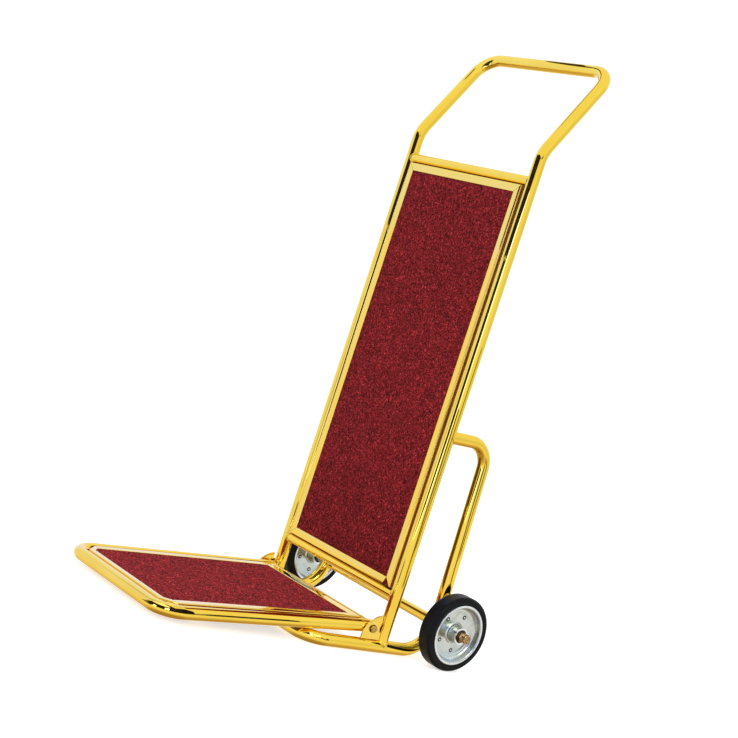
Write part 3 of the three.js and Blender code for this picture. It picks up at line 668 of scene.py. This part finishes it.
def make_brackets():
    foot, back, thick, corner = 26.2, -12.8, 3.5, 5
    # The plate's quarter round is laid out in (-y, z) and stood up along x.
    outline = [(back, foot), (back, foot + 20)] + arc((back + 3.3, foot), 51, 101, 180, 28)
    outline = [(-y, z) for y, z in reversed(outline)]
    stand = Matrix(((0, 0, 1, 0), (-1, 0, 0, 0), (0, 1, 0, 0), (0, 0, 0, 1)))
    lie = Matrix(((1, 0, 0, 0), (0, 0, -1, 0), (0, 1, 0, 0), (0, 0, 0, 1)))
    for side_name, sign in SIDES:
        low, high = sorted((sign * 190.3, sign * 193.8))
        plate = moved(prism(outline, low, high, edge=0.7, steps=3), stand)
        flange = rectangle(sorted((sign * 176.3, sign * 191.3)), (foot, foot + 38))
        flange = rounded(flange, [0, 0, 0, corner] if sign > 0 else [0, 0, corner, 0])
        flange = moved(prism(flange, -back, -back + thick, edge=0.6, steps=3), lie)
        bracket = boolean(plate, flange, "UNION")
        bracket = drilled(bracket, (sign * 188, PIVOT_Y, PIVOT_Z), (sign * 196, PIVOT_Y, PIVOT_Z), 4.15, 32)
        stand_in(f"hinge_bracket_{side_name}", [bracket], LAYOUT, "frame", "gold_trim", smooth=28)


def rectangle(xs, ys):
    return [(xs[0], ys[0]), (xs[1], ys[0]), (xs[1], ys[1]), (xs[0], ys[1])]


def rounded(points, radii, steps=6):
    """An outline with its corners rounded by the given radii."""
    made, count = [], len(points)
    for i, radius in enumerate(radii):
        corner = Vector(points[i])
        if not radius:
            made.append(tuple(corner))
            continue
        into = (Vector(points[i - 1]) - corner).normalized()
        out = (Vector(points[(i + 1) % count]) - corner).normalized()
        half = into.angle(out) / 2
        reach = radius / math.tan(half)
        centre = corner + (into + out).normalized() * (radius / math.sin(half))
        start, end = corner + into * reach - centre, corner + out * reach - centre
        for k in range(steps + 1):
            way = start.lerp(end, k / steps).normalized() * radius
            made.append(tuple(centre + way))
    return made


# ---------------- framed boards

SHEET = 1.2
GAP = 0.3
BOARD = 8.8
CARPET = 2
PILE_RISE = 0.9
PILE_CELL = 1.8
LEG = 6.4
# How far a trim's last mitre stops short at its outer corner.
OPEN_MITRES = {("back_panel", "bottom"): 22}
BOARD_TOP = -SHEET - GAP - CARPET - GAP
BOARD_BOTTOM = BOARD_TOP - BOARD


def trim_section(width):
    """An angle's closed section: (inset, height) points, its outer corner and lip rounded."""
    bend, lip = 1.7, 0.45
    points = [(SHEET, -LEG), (0.0, -LEG)]
    points += arc((bend, -bend), bend, 180, 90, 6)
    points += arc((width - lip, -lip), lip, 90, 0, 3)
    points += [(width, -SHEET), (SHEET + 0.6, -SHEET), (SHEET, -SHEET - 0.6)]
    return points


def trim(outer, inner, width, first, last, short=0):
    """A mitred angle along the sides first to last of an outline; short cuts back its last outer corner."""
    section = trim_section(width)
    corners = [i % len(outer) for i in range(first, last + 2)]
    verts = []
    for k, i in enumerate(corners):
        nudge = Vector((0, 0))
        at_end = k == len(corners) - 1
        if k == 0 or at_end:
            nudge = (outer[corners[-2 if at_end else 1]] - outer[i]).normalized() * GAP
        for inset, height in section:
            place = outer[i].lerp(inner[i], inset / width) + nudge
            if short and at_end:
                place = place + nudge.normalized() * short * (1 - inset / width)
            verts.append(Vector((place.x, place.y, height)))
    return verts, skin(len(corners), len(section))


def edge_distance(point, outline):
    """How far inside a convex anticlockwise outline a point is."""
    nearest = 1e9
    for i, corner in enumerate(outline):
        along = outline[(i + 1) % len(outline)] - corner
        nearest = min(nearest, along.cross(point - corner) / along.length)
    return nearest


def pile(outline, opening):
    """A carpet: flat where the trims hold it down, and standing up in tufts between them."""
    xs, ys = [p.x for p in outline], [p.y for p in outline]
    wide, long = max(xs) - min(xs), max(ys) - min(ys)
    work = bmesh.new()
    cells = round(wide / PILE_CELL), round(long / PILE_CELL)
    bmesh.ops.create_grid(work, x_segments=cells[0], y_segments=cells[1], size=0.5)
    for vert in work.verts:
        vert.co.x = vert.co.x * wide + (max(xs) + min(xs)) / 2
        vert.co.y = vert.co.y * long + (max(ys) + min(ys)) / 2
    for i, corner in enumerate(outline):
        side = outline[(i + 1) % len(outline)] - corner
        if abs(side.x) > 1e-3 and abs(side.y) > 1e-3:
            bmesh.ops.bisect_plane(work, geom=work.verts[:] + work.edges[:] + work.faces[:],
                                   plane_co=(*corner, 0), plane_no=(side.y, -side.x, 0), clear_outer=True)
    held = -SHEET - GAP
    for vert in work.verts:
        inside = edge_distance(vert.co.xy, opening)
        rise = max(0.0, min(1.0, inside / 1.8))
        rise = rise * rise * (3 - 2 * rise)
        spot = Vector((vert.co.x, vert.co.y, 0))
        tuft = noise.noise(spot * 0.42) + 0.6 * noise.noise(spot * 1.1 + Vector((7, 3, 1)))
        vert.co.z = held + rise * (PILE_RISE - 0.25 + 0.22 * tuft)
    border = [e for e in work.edges if e.is_boundary]
    skirt = bmesh.ops.extrude_edge_only(work, edges=border)["geom"]
    for vert in [g for g in skirt if isinstance(g, bmesh.types.BMVert)]:
        vert.co.z = held - CARPET
    bmesh.ops.contextual_create(work, geom=[e for e in work.edges if e.is_boundary])
    work.verts.index_update()
    made = [v.co.copy() for v in work.verts], [tuple(v.index for v in f.verts) for f in work.faces]
    work.free()
    return made


SCREW_HOLE_R = 2.5
SCREW_X = 162


def make_board(prefix, place, body, outline, widths, strips, reaches, holes=()):
    """A board, its carpet and the trims round it; reaches are how far the board runs past each side."""
    outline = [Vector(p) for p in outline]
    count = len(outline)
    inner = inset_outline(outline, widths)
    board_outline = inset_outline(outline, [SHEET + GAP] * count)
    opening = inset_outline(outline, [w + GAP for w in widths])
    upper = prism(board_outline, -LEG - 1, BOARD_TOP, edge=0.4)
    lower = prism(inset_outline(outline, [-reach for reach in reaches]), BOARD_BOTTOM, -LEG - GAP, edge=0.4)
    board = boolean(upper, lower, "UNION")
    for x, y in holes:
        board = drilled(board, (x, y, BOARD_BOTTOM - 5), (x, y, BOARD_BOTTOM + 6.3), SCREW_HOLE_R, 16)
    stand_in(f"{prefix}_board", [board], place, body, "plywood")
    carpet = pile(board_outline, opening)
    stand_in(f"{prefix}_carpet", [carpet], place, body, "carpet", smooth=80,
             finish="deck_carpet" if body == "platform" else None)
    for name, first, last in strips:
        strip = trim(outline, inner, widths[first], first, last, OPEN_MITRES.get((prefix, name), 0))
        stand_in(f"{prefix}_trim_{name}", [strip], place, body, "gold_trim")


def screw(place, name, x, y, face, tip):
    """A pan-head screw with a cross recess, its head below the board's back."""
    head_r, rise = 4.4, 2.5
    profile = [(0.01, tip), (1.4, tip), (2.1, tip - 1), (2.1, face), (head_r, face), (head_r, face - 0.7)]
    profile += [(head_r * math.cos(math.radians(a)), face - 0.7 - (rise - 0.7) * math.sin(math.radians(a)))
                for a in (20, 40, 60, 80)]
    profile += [(0.01, face - rise)]
    shape = lathe(profile, 40)
    for turn in (0, 90):
        slot = prism(rectangle((-2.3, 2.3), (-0.45, 0.45)), face - rise - 1, face - rise + 1.1)
        slot = moved(slot, Matrix.Rotation(math.radians(turn), 4, "Z"))
        slot = moved(slot, Matrix.Rotation(math.pi / 2, 4, "Y"))
        shape = boolean(shape, slot, "DIFFERENCE")
    stand = Matrix.Translation((x, y, 0)) @ Matrix.Rotation(-math.pi / 2, 4, "Y")
    stand_in(name, [moved(shape, stand)], place, "frame", "steel")


def make_back_panel():
    outline = rectangle((-172.7, 172.7), (128.4, 952.6))
    strips = (("bottom", 0, 0), ("right", 1, 1), ("top", 2, 2), ("left", 3, 3))
    levels = (("upper", 790), ("lower", 290))
    places = [(f"{level}_{side_name}", sign, z) for level, z in levels for side_name, sign in SIDES]
    make_board("back_panel", PANEL, "frame", outline, [16] * 4, strips, (1.5, 2.7, 0.7, 2.7),
               [(s * SCREW_X, z) for _, s, z in places])
    top, thick = BOARD_BOTTOM - GAP, 3
    for name, sign, z in places:
        flat = rectangle(sorted((sign * 150, sign * HALF_WIDTH)), (z - 12, z + 12))
        flat = rounded(flat, [5, 0, 0, 5] if sign > 0 else [0, 5, 5, 0])
        tab = prism(flat, top - thick, top, edge=0.5)
        x, y = sign * HALF_WIDTH, PANEL_FACE
        tab = drilled(tab, (x, z - 30, y), (x, z + 30, y), TUBE_R + 0.1, TUBE_SIDES)
        tab = drilled(tab, (sign * SCREW_X, z, top - 6), (sign * SCREW_X, z, top + 3), SCREW_HOLE_R)
        stand_in(f"panel_tab_{name}", [tab], PANEL, "frame", "gold_tube")
        screw(PANEL, f"panel_screw_{name}", sign * SCREW_X, z, top - thick - GAP, BOARD_BOTTOM + 5.8)


# ---------------- platform

PLUG = ((0.01, 8), (8.6, 8), (9, 8.4), (9, 13.2), (12.3, 13.2), (12.3, 14.2), (11.6, 14.7), (0.01, 14.8))
# The thin ring of painted shadow under each hinge bolt head, as (radius, along) points.
HINGE_PAINTED_SHADOW_RING = ((5, 193.86), (8, 193.86), (8.2, 193.94), (8, 194.04), (5, 194.04))


def side_tube(sign):
    return (sign * PLATFORM_HALF_WIDTH, 0, 0), (0, 1, 0), TUBE_R


def make_platform():
    side = [(PLATFORM_HALF_WIDTH, 13, 0), (PLATFORM_HALF_WIDTH, -474, 0)]
    tube = sweep(*bent_path(mirrored(side), [46, 46]), TUBE_R, TUBE_SIDES)
    piece("platform_frame_visual", [tube], PLATFORM, "platform", "gold_tube", ["platform_frame_tube"])
    bar = coped_bar((-140, 5, 0), (140, 5, 0), CROSS_R, from_tube=side_tube(-1), to_tube=side_tube(1))
    piece("platform_rear_visual", [bar], PLATFORM, "platform", "gold_tube", ["platform_rear_tube"])
    welds("platform_rear", (100, 5, 0), CROSS_R, side_tube, PLATFORM, "platform", size=1.5)
    for side_name, sign in SIDES:
        spin = Matrix.Rotation(math.pi / 2, 4, "Z")
        plug = moved(lathe(PLUG, 48), Matrix.Translation((sign * PLATFORM_HALF_WIDTH, 0, 0)) @ spin)
        stand_in(f"tube_plug_{side_name}", [plug], PLATFORM, "platform", "nylon")
    make_deck()
    for side_name, sign in SIDES:
        make_pivot(side_name, sign)


def make_deck():
    half, rear, front, chamfer = 160.6, -8, -460.5, 26
    outline = [(half, rear), (-half, rear), (-half, front + chamfer), (-half + chamfer, front),
               (half - chamfer, front), (half, front + chamfer)]
    widths = [20.5, 18, 10.5, 10.5, 10.5, 18]
    strips = (("rear", 0, 0), ("left", 1, 1), ("front", 2, 4), ("right", 5, 5))
    make_board("platform", DECK, "platform", outline, widths, strips, [2.5] * 6)
    top = BOARD_BOTTOM - GAP
    for name, y in (("front", -370), ("rear", -110)):
        flat = rectangle((-PLATFORM_HALF_WIDTH, PLATFORM_HALF_WIDTH), (y - 12.5, y + 12.5))
        bar = prism(flat, top - 3, top, edge=0.5)
        for _, sign in SIDES:
            x = sign * PLATFORM_HALF_WIDTH
            bar = drilled(bar, (x, y - 30, -DECK_RISE), (x, y + 30, -DECK_RISE), TUBE_R + 0.1, TUBE_SIDES)
        node = f"deck_support_bar_{name}"
        piece(f"deck_support_{name}_visual", [bar], DECK, "platform", "gold_tube", [node])


def make_pivot(side_name, sign):
    """The threaded insert, washer and bolt that the platform turns on, with a thin ring of painted shadow
    under the bolt head.
    """
    spot = Matrix.Translation((sign * PLATFORM_HALF_WIDTH, 0, 0))
    insert = moved(lathe(collar(4.3, 6.5, -7, 7, 0.3), 32), spot)
    stand_in(f"pivot_insert_{side_name}", [insert], PLATFORM, "platform", "steel")
    washer = lathe(collar(4.3, 9, 188.9, 190, 0.3), 48, sign)
    stand_in(f"hinge_washer_{side_name}", [washer], PLATFORM, "platform", "nylon")
    # A thin dark ring between the bracket plate and the bolt head: painted shadow, outlining the head.
    seat = lathe(HINGE_PAINTED_SHADOW_RING, 48, sign)
    piece(f"hinge_painted_shadow_ring_{side_name}", [seat], PLATFORM, "platform", "steel", finish="dark_steel")
    shank = bar_between((sign * 171, 0, 0), (sign * 195, 0, 0), 4, 32)
    bolt = boolean(hexagon(sign * 194.1, sign * 199.4, 7.5), shank, "UNION")
    stand_in(f"hinge_bolt_{side_name}", [bolt], PLATFORM, "platform", "copper_brass",
             smooth=24, finish="brass")


# ---------------- wheels

def tyre_profile():
    seat, lip = 57.7, 15.6
    half, radius, shoulder = 17.4, 76.6, 6.2
    upper = [(radius - 0.15, 0), (radius - 0.1, half - shoulder - 2.5)]
    upper += [(r, x) for x, r in arc((half - shoulder, radius - shoulder), shoulder, 88, 4, 9)]
    upper += [(66.5, half - 0.15), (63.4, half - 0.45), (62.3, half - 0.9), (61.9, lip), (seat, lip)]
    lower = [(r, -x) for r, x in reversed(upper[1:])]
    return lower + upper


def rim_profile():
    """Half of the pressed rim as (radius, along) points, sheet 2 thick."""
    inside = [(17.6, 4.4), (19.0, 4.3), (20.2, 3.9), (21.0, 2.9), (22.4, 2.15), (40.5, 2.15), (42, 2.5),
              (43.5, 3.1), (45.4, 3.3), (47.2, 3.6)]
    inside += arc((47.2, 10.6), 7.0, -80, -8, 7) + [(55.2, 12.2)] + arc((57.4, 15.7), 2.2, 180, 100, 5)
    outside = [(60.6, 17.9), (61.4, 17.6), (61.6, 16.9), (61.4, 16.1), (60.6, 15.9), (57.6, 15.8)]
    outside += [(57.4, 9.4), (56.6, 7), (54.6, 4), (51.4, 1.6), (48, 0.6), (45, 0.3), (42, 0.15),
                (17.6, 0.15)]
    return inside + outside


# Thin shells over the rim's rolled lip and the hub's end face, in the lighter zinc: painted highlight.
LIP_PAINTED_HIGHLIGHT_RING = ((57.7, 17.95), (60.4, 17.95), (60.9, 18.1), (60.4, 18.35), (59.2, 18.5), (58.0, 18.35),
            (57.4, 18.05))
HUB_PAINTED_HIGHLIGHT_RING = ((13.3, 24.43), (17.0, 24.43), (17.3, 24.6), (17.0, 24.8), (13.6, 24.8), (13.3, 24.6))
HALF_HUB = ((17.3, 1), (17.3, 4.8), (18.6, 5), (18.9, 5.5), (18.6, 6.4), (17.5, 7.6), (17.1, 12),
            (16.9, 21.5), (17.2, 22.2), (17.3, 23.6), (16.9, 24.3), (16.4, 24.4), (13.8, 24.4),
            (13.2, 24.1), (13, 23.4))
BEARING = ((6.25, 12.4), (12.6, 12.4), (12.6, 20.9), (12.1, 21.4), (7.2, 21.4), (6.25, 20.6))
RIVET = ((0.01, -2.9), (1.9, -2.8), (2.2, -2.5), (2.2, 2.5), (1.9, 2.8), (0.01, 2.9))
# Flat dark rings round the rivets on both faces of the disc: painted shade of the holes' recesses.
RIVET_PAINTED_SHADE_RING = ((2.3, -2.4), (4.5, -2.4), (4.5, -2.2), (2.3, -2.1), (2.3, 2.1), (4.5, 2.2), (4.5, 2.4),
              (3.4, 2.9), (2.3, 2.9), (2.3, 2.4))
RIVETS = 5
RIVET_CIRCLE_R = 36.5
RIVET_PHASE = {"right": 0.6, "left": 0.77}


def make_wheel(side_name, sign):
    place, body = wheel_place(sign), f"{side_name}_wheel"
    stand_in(f"tyre_{side_name}", [lathe(tyre_profile(), 160)], place, body, "tyre")
    turns = [2 * math.pi * (i + RIVET_PHASE[side_name]) / RIVETS for i in range(RIVETS)]
    spots = [(-RIVET_CIRCLE_R * math.cos(turn), RIVET_CIRCLE_R * math.sin(turn)) for turn in turns]
    for half_name, way in (("outer", 1), ("inner", -1)):
        shape = lathe(rim_profile(), 128, way)
        for y, z in spots:
            shape = drilled(shape, (-6, y, z), (6, y, z), 2.4, 20)
        stand_in(f"rim_{half_name}_{side_name}", [shape], place, body, "zinc", smooth=25)
    # The rivets, and the dark rings round them, which are painted shade.
    kinds = (("rivets", RIVET, "zinc", None), ("rivet_painted_shade_rings", RIVET_PAINTED_SHADE_RING, "steel", "dark_steel"))
    for name, profile, slot, finish in kinds:
        parts = [moved(lathe(profile, 24), Matrix.Translation((0, y, z))) for y, z in spots]
        piece(f"rim_{name}_{side_name}", parts, place, body, slot, finish=finish)
    hub = [(r, -x) for r, x in reversed(HALF_HUB)] + list(HALF_HUB)
    node = f"hub_tube_{side_name}"
    piece(f"hub_{side_name}_visual", [lathe(hub)], place, body, "zinc", [node], finish="hub")
    for half_name, way in (("outer", 1), ("inner", -1)):
        # The lip and hub-end shells are painted highlight; the bearings are the nylon parts.
        lip, ring, bearing = lathe(LIP_PAINTED_HIGHLIGHT_RING, 128, way), lathe(HUB_PAINTED_HIGHLIGHT_RING, 64, way), lathe(BEARING, 64, way)
        piece(f"rim_lip_{half_name}_{side_name}", [lip], place, body, "zinc", finish="bright")
        piece(f"hub_ring_{half_name}_{side_name}", [ring], place, body, "zinc", finish="bright")
        stand_in(f"bearing_{half_name}_{side_name}", [bearing], place, body, "nylon")


# ---------------- build

make_main_frame()
make_base_loop()
make_axle()
make_brackets()
make_back_panel()
make_platform()
for wheel_side, wheel_sign in SIDES:
    make_wheel(wheel_side, wheel_sign)

# ---------------- floor, light, camera


def make_floor():
    """White where the camera sees it; in the cart's own reflections it glows dimmer and browner the more
    steeply it is seen, a painted shade for the cart's shadow on it.
    """
    mesh = bpy.data.meshes.new("studio_floor")
    count, radius, level = 96, 3.2, -0.0006
    rim = [(radius * c, radius * s, level) for c, s in round_steps(count)]
    mesh.from_pydata(rim, [], [tuple(range(count))])
    material, shader = start_material("studio_floor_finish", Roughness=0.9, Base_Color=(0.9, 0.9, 0.9, 1),
                                      Emission_Color=(1, 1, 1, 1), Emission_Strength=0.62)
    # Painted shade: seen in reflections, the floor glows darker and browner at steep angles, where the cart
    # would shade it.
    slant = add(material, "ShaderNodeLayerWeight", Blend=0.5)
    tones = ((0.15, (0.42, 0.29, 0.18)), (0.36, (0.70, 0.56, 0.42)), (0.62, (1.0, 0.96, 0.9)))
    painted_shade_glow = add(material, "ShaderNodeEmission")
    link(material, ramp(material, slant.outputs["Facing"], tones), painted_shade_glow.inputs["Color"])
    surface = chosen(material, "Is Glossy Ray", shader.outputs[0], painted_shade_glow.outputs[0])
    link(material, surface, material.node_tree.nodes["Material Output"].inputs["Surface"])
    mesh.materials.append(material)
    linked("studio_floor", mesh)


def direction(azimuth, elevation):
    a, e = math.radians(azimuth), math.radians(elevation)
    return Vector((math.cos(a) * math.cos(e), math.sin(a) * math.cos(e), math.sin(e)))


# Azimuth from +X towards +Y, elevation, half width, half height, softness, colour.
SURROUND = (
    (-165, 5, 50, 60, 0.3, (0.93, 1.04, 1.8)),
    (45, -5, 28, 24, 0.2, (0.8, 0.86, 0.9)),
    (-60, 36, 46, 20, 0.02, (0.02, 0.018, 0.02)),
    (-93, 23, 13, 11, 0.015, (6.0, 6.0, 6.0)),
    (-15, 37, 15, 11, 0.015, (6.0, 6.0, 6.0)),
)


def make_world():
    """Even white for diffuse light, white to the camera, and for polished metal the surround."""
    world = bpy.data.worlds.new("studio")
    bpy.context.scene.world = world
    world.use_nodes = True
    world.node_tree.nodes.clear()
    place = add(world, "ShaderNodeTexCoord").outputs["Generated"]

    def calculated(operation, *values, kind="ShaderNodeMath", output=0):
        node = add(world, kind, operation=operation)
        feed(world, node.inputs, values)
        return node.outputs[output]

    def along(vector):
        return calculated("DOT_PRODUCT", place, vector, kind="ShaderNodeVectorMath", output="Value")

    def inside(value, depth, half_degrees, soft):
        """1 where value / depth is within half_degrees of the middle, fading to 0 past it."""
        half = math.tan(math.radians(half_degrees))
        node = add(world, "ShaderNodeMapRange", interpolation_type="SMOOTHSTEP")
        sockets = [node.inputs[name] for name in ("Value", "From Min", "From Max", "To Min", "To Max")]
        size = calculated("ABSOLUTE", calculated("DIVIDE", value, depth))
        feed(world, sockets, (size, half + soft, half - soft, 0, 1))
        return node.outputs["Result"]

    def patch(azimuth, elevation, half_width, half_height, soft):
        """1 inside a rectangle of the surround, sizes in degrees, and 0 outside."""
        forward = direction(azimuth, elevation)
        right = forward.cross(Vector((0, 0, 1))).normalized()
        depth = calculated("MAXIMUM", along(forward), 0.001)
        across = inside(along(right), depth, half_width, soft)
        height = inside(along(right.cross(forward)), depth, half_height, soft)
        front = calculated("GREATER_THAN", along(forward), 0.01)
        return calculated("MULTIPLY", calculated("MULTIPLY", across, height), front)

    colour = (1.0, 1.0, 0.95, 1)
    for *spot, tint in SURROUND:
        colour = colour_mix(world, "MIX", patch(*spot), colour, (*tint, 1))
    surround = add(world, "ShaderNodeBackground")
    link(world, colour, surround.inputs["Color"])
    surface = surround.outputs[0]
    for ray, strength in (("Is Diffuse Ray", 0.5), ("Is Camera Ray", 1.3)):
        plain = add(world, "ShaderNodeBackground", Color=(1, 1, 1, 1), Strength=strength)
        surface = chosen(world, ray, surface, plain.outputs[0])
    link(world, surface, add(world, "ShaderNodeOutputWorld").inputs["Surface"])


def card(name, corners, colour):
    """A flat card by the cart that only polished surfaces see; corners in layout millimetres."""
    mesh = bpy.data.meshes.new(name)
    mesh.from_pydata([LAYOUT @ Vector(c) for c in corners], [], [tuple(range(len(corners)))])
    material = bpy.data.materials.new(name)
    material.use_nodes = True
    material.node_tree.nodes.clear()
    glow = add(material, "ShaderNodeEmission", Color=(*colour, 1))
    link(material, glow.outputs[0], add(material, "ShaderNodeOutputMaterial").inputs["Surface"])
    mesh.materials.append(material)
    obj = linked(name, mesh)
    obj.visible_camera = obj.visible_diffuse = obj.visible_shadow = False
    obj.visible_transmission = obj.visible_volume_scatter = False


OVERHEAD_Z = 1520
FLAGS_Y = -600
SIDE_FLAG_X = 900
FAR_FLAG_X = 1500
# The front cards stand side by side: their edges' x at each of these heights, left to right.
LEVELS = (150, 229, 300, 420, 540, 660, 850)
EDGES = (
    (-1100,) * 7,
    (-290, -290, -290, -290, -300, -310, -310),
    (60, 60, 60, 60, -40, -130, -150),
    (265, 280, 285, 240, 104, 27, -60),
    (330, 620, 640, 720, 624, 578, 530),
    (600, 830, 870, 930, 830, 780, 800),
    (1500,) * 7,
)
BETWEEN_EDGES = (
    ("white_left", (1.0, 0.99, 1.1)),
    ("grey_left", (0.66, 0.74, 1.5)),
    ("strip_left", (1.35, 1.5, 2.0)),
    ("flag_stem", (0.03, 0.03, 0.25)),
    ("strip_right", (2.3, 2.6, 4.2)),
    ("white_side", (1.0, 1.1, 2.2)),
)
FRONT_CARDS = (
    ("flag_top", (0.025, 0.02, 0.03),
     ((-200, 855), (545, 855), (545, 950), (700, 1045), (760, 1240), (-560, 1330), (-320, 1045),
      (-300, 870))),
    ("strip_top", (1.9, 2.3, 9.0), ((550, 855), (860, 855), (860, 1040), (705, 1040), (550, 945))),
    ("flag_foot", (0.25, 0.25, 0.3), ((20, 10), (120, 10), (170, 100), (60, 100))),
    ("white_low_left", (0.93, 0.98, 1.6), ((-1100, 10), (20, 10), (60, 100), (60, 149), (-1100, 149))),
    ("white_low_right", (1.0, 1.05, 1.3),
     ((120, 10), (1500, 10), (1500, 149), (60, 149), (60, 101), (170, 101))),
)
OVERHEAD_CARDS = (
    ("overhead_left", 0, (-1700, -150), (-1600, 500), (1.0, 1.08, 1.4)),
    ("overhead_right", 0, (-148, 1700), (-1600, 500), (1.0, 1.0, 0.9)),
    ("overhead_dark", -8, (-300, -170), (-170, 190), (0.06, 0.05, 0.05)),
)
SIDE_FLAG = ((-600, 470), (-230, 470), (-10, 300), (30, 216), (200, 117), (240, 67), (400, 10), (150, 10),
             (10, 67), (-60, 117), (-256, 216), (-340, 300))


def make_cards():
    for name, rise, xs, ys, colour in OVERHEAD_CARDS:
        card(name, [(x, y, OVERHEAD_Z + rise) for x, y in rectangle(xs, ys)], colour)
    for (name, colour), left, right in zip(BETWEEN_EDGES, EDGES, EDGES[1:]):
        outline = list(zip(left, LEVELS)) + list(zip(right, LEVELS))[::-1]
        card(name, [(x, FLAGS_Y, z) for x, z in outline], colour)
    for name, colour, outline in FRONT_CARDS:
        card(name, [(x, FLAGS_Y, z) for x, z in outline], colour)
    card("side_flag", [(SIDE_FLAG_X, y, z) for y, z in SIDE_FLAG], (0.12, 0.13, 0.2))
    card("far_flag", [(FAR_FLAG_X, y, z) for y, z in rectangle((440, 790), (5, 620))], (0.02, 0.02, 0.03))
    make_bend_flags()


def make_bend_flags():
    """A dark wall with two bright windows close round the platform's right front bend."""
    centre, radius = Vector((130, -502)), 93
    tints = {"dark": (0.015, 0.013, 0.015), "bright": (6.0, 6.3, 8.0)}
    # Start and end angle, low and high edge.
    spans = ((-115, -84, 27, 105, "dark"), (-84, -70, 47, 105, "dark"), (-70, -34, 27, 105, "dark"),
             (-34, -19, 64, 105, "dark"), (-34, -19, 27, 37, "dark"), (-19, 40, 27, 105, "dark"),
             (-84, -70, 27, 46, "bright"), (-34, -19, 38, 63, "bright"))
    for i, (start, end, low, high, kind) in enumerate(spans):
        a, b = (centre + direction(angle, 0).xy * radius for angle in (start, end))
        corners = [(*a, low), (*b, low), (*b, high), (*a, high)]
        card(f"bend_{kind}_{i}", corners, tints[kind])


def make_key_light():
    light = bpy.data.lights.new("key", "AREA")
    light.shape = "SQUARE"
    light.size = 2.2
    light.energy = 32
    obj = linked("key", light)
    distance, aim = 3.2, Vector((0, 0, 0.45))
    obj.location = aim + direction(-75, 62) * distance
    obj.rotation_mode = "QUATERNION"
    obj.rotation_quaternion = (aim - obj.location).to_track_quat("-Z", "Y")
    obj.visible_glossy = False


CAMERA_PLACE = Vector((2.35183, -1.89274, 0.65079))
CAMERA_AZIMUTH, CAMERA_ELEVATION, CAMERA_ROLL = -39.871, 2.470, 18.108


def make_camera():
    """The azimuth and elevation are of the camera's back, and the roll is about its line of sight."""
    data = bpy.data.cameras.new("camera")
    data.sensor_width = 36
    data.lens = 74.87
    data.clip_start, data.clip_end = 0.05, 60
    camera = linked("camera", data)
    back = direction(CAMERA_AZIMUTH, CAMERA_ELEVATION)
    level = Vector((0, 0, 1)).cross(back).normalized()
    right = Matrix.Rotation(math.radians(CAMERA_ROLL), 3, back) @ level
    turn = Matrix((right, back.cross(right), back)).transposed().to_4x4()
    camera.matrix_world = Matrix.Translation(CAMERA_PLACE) @ turn
    bpy.context.scene.camera = camera


make_floor()
make_world()
make_cards()
make_key_light()
make_camera()
bpy.context.scene.view_settings.view_transform = "Standard"
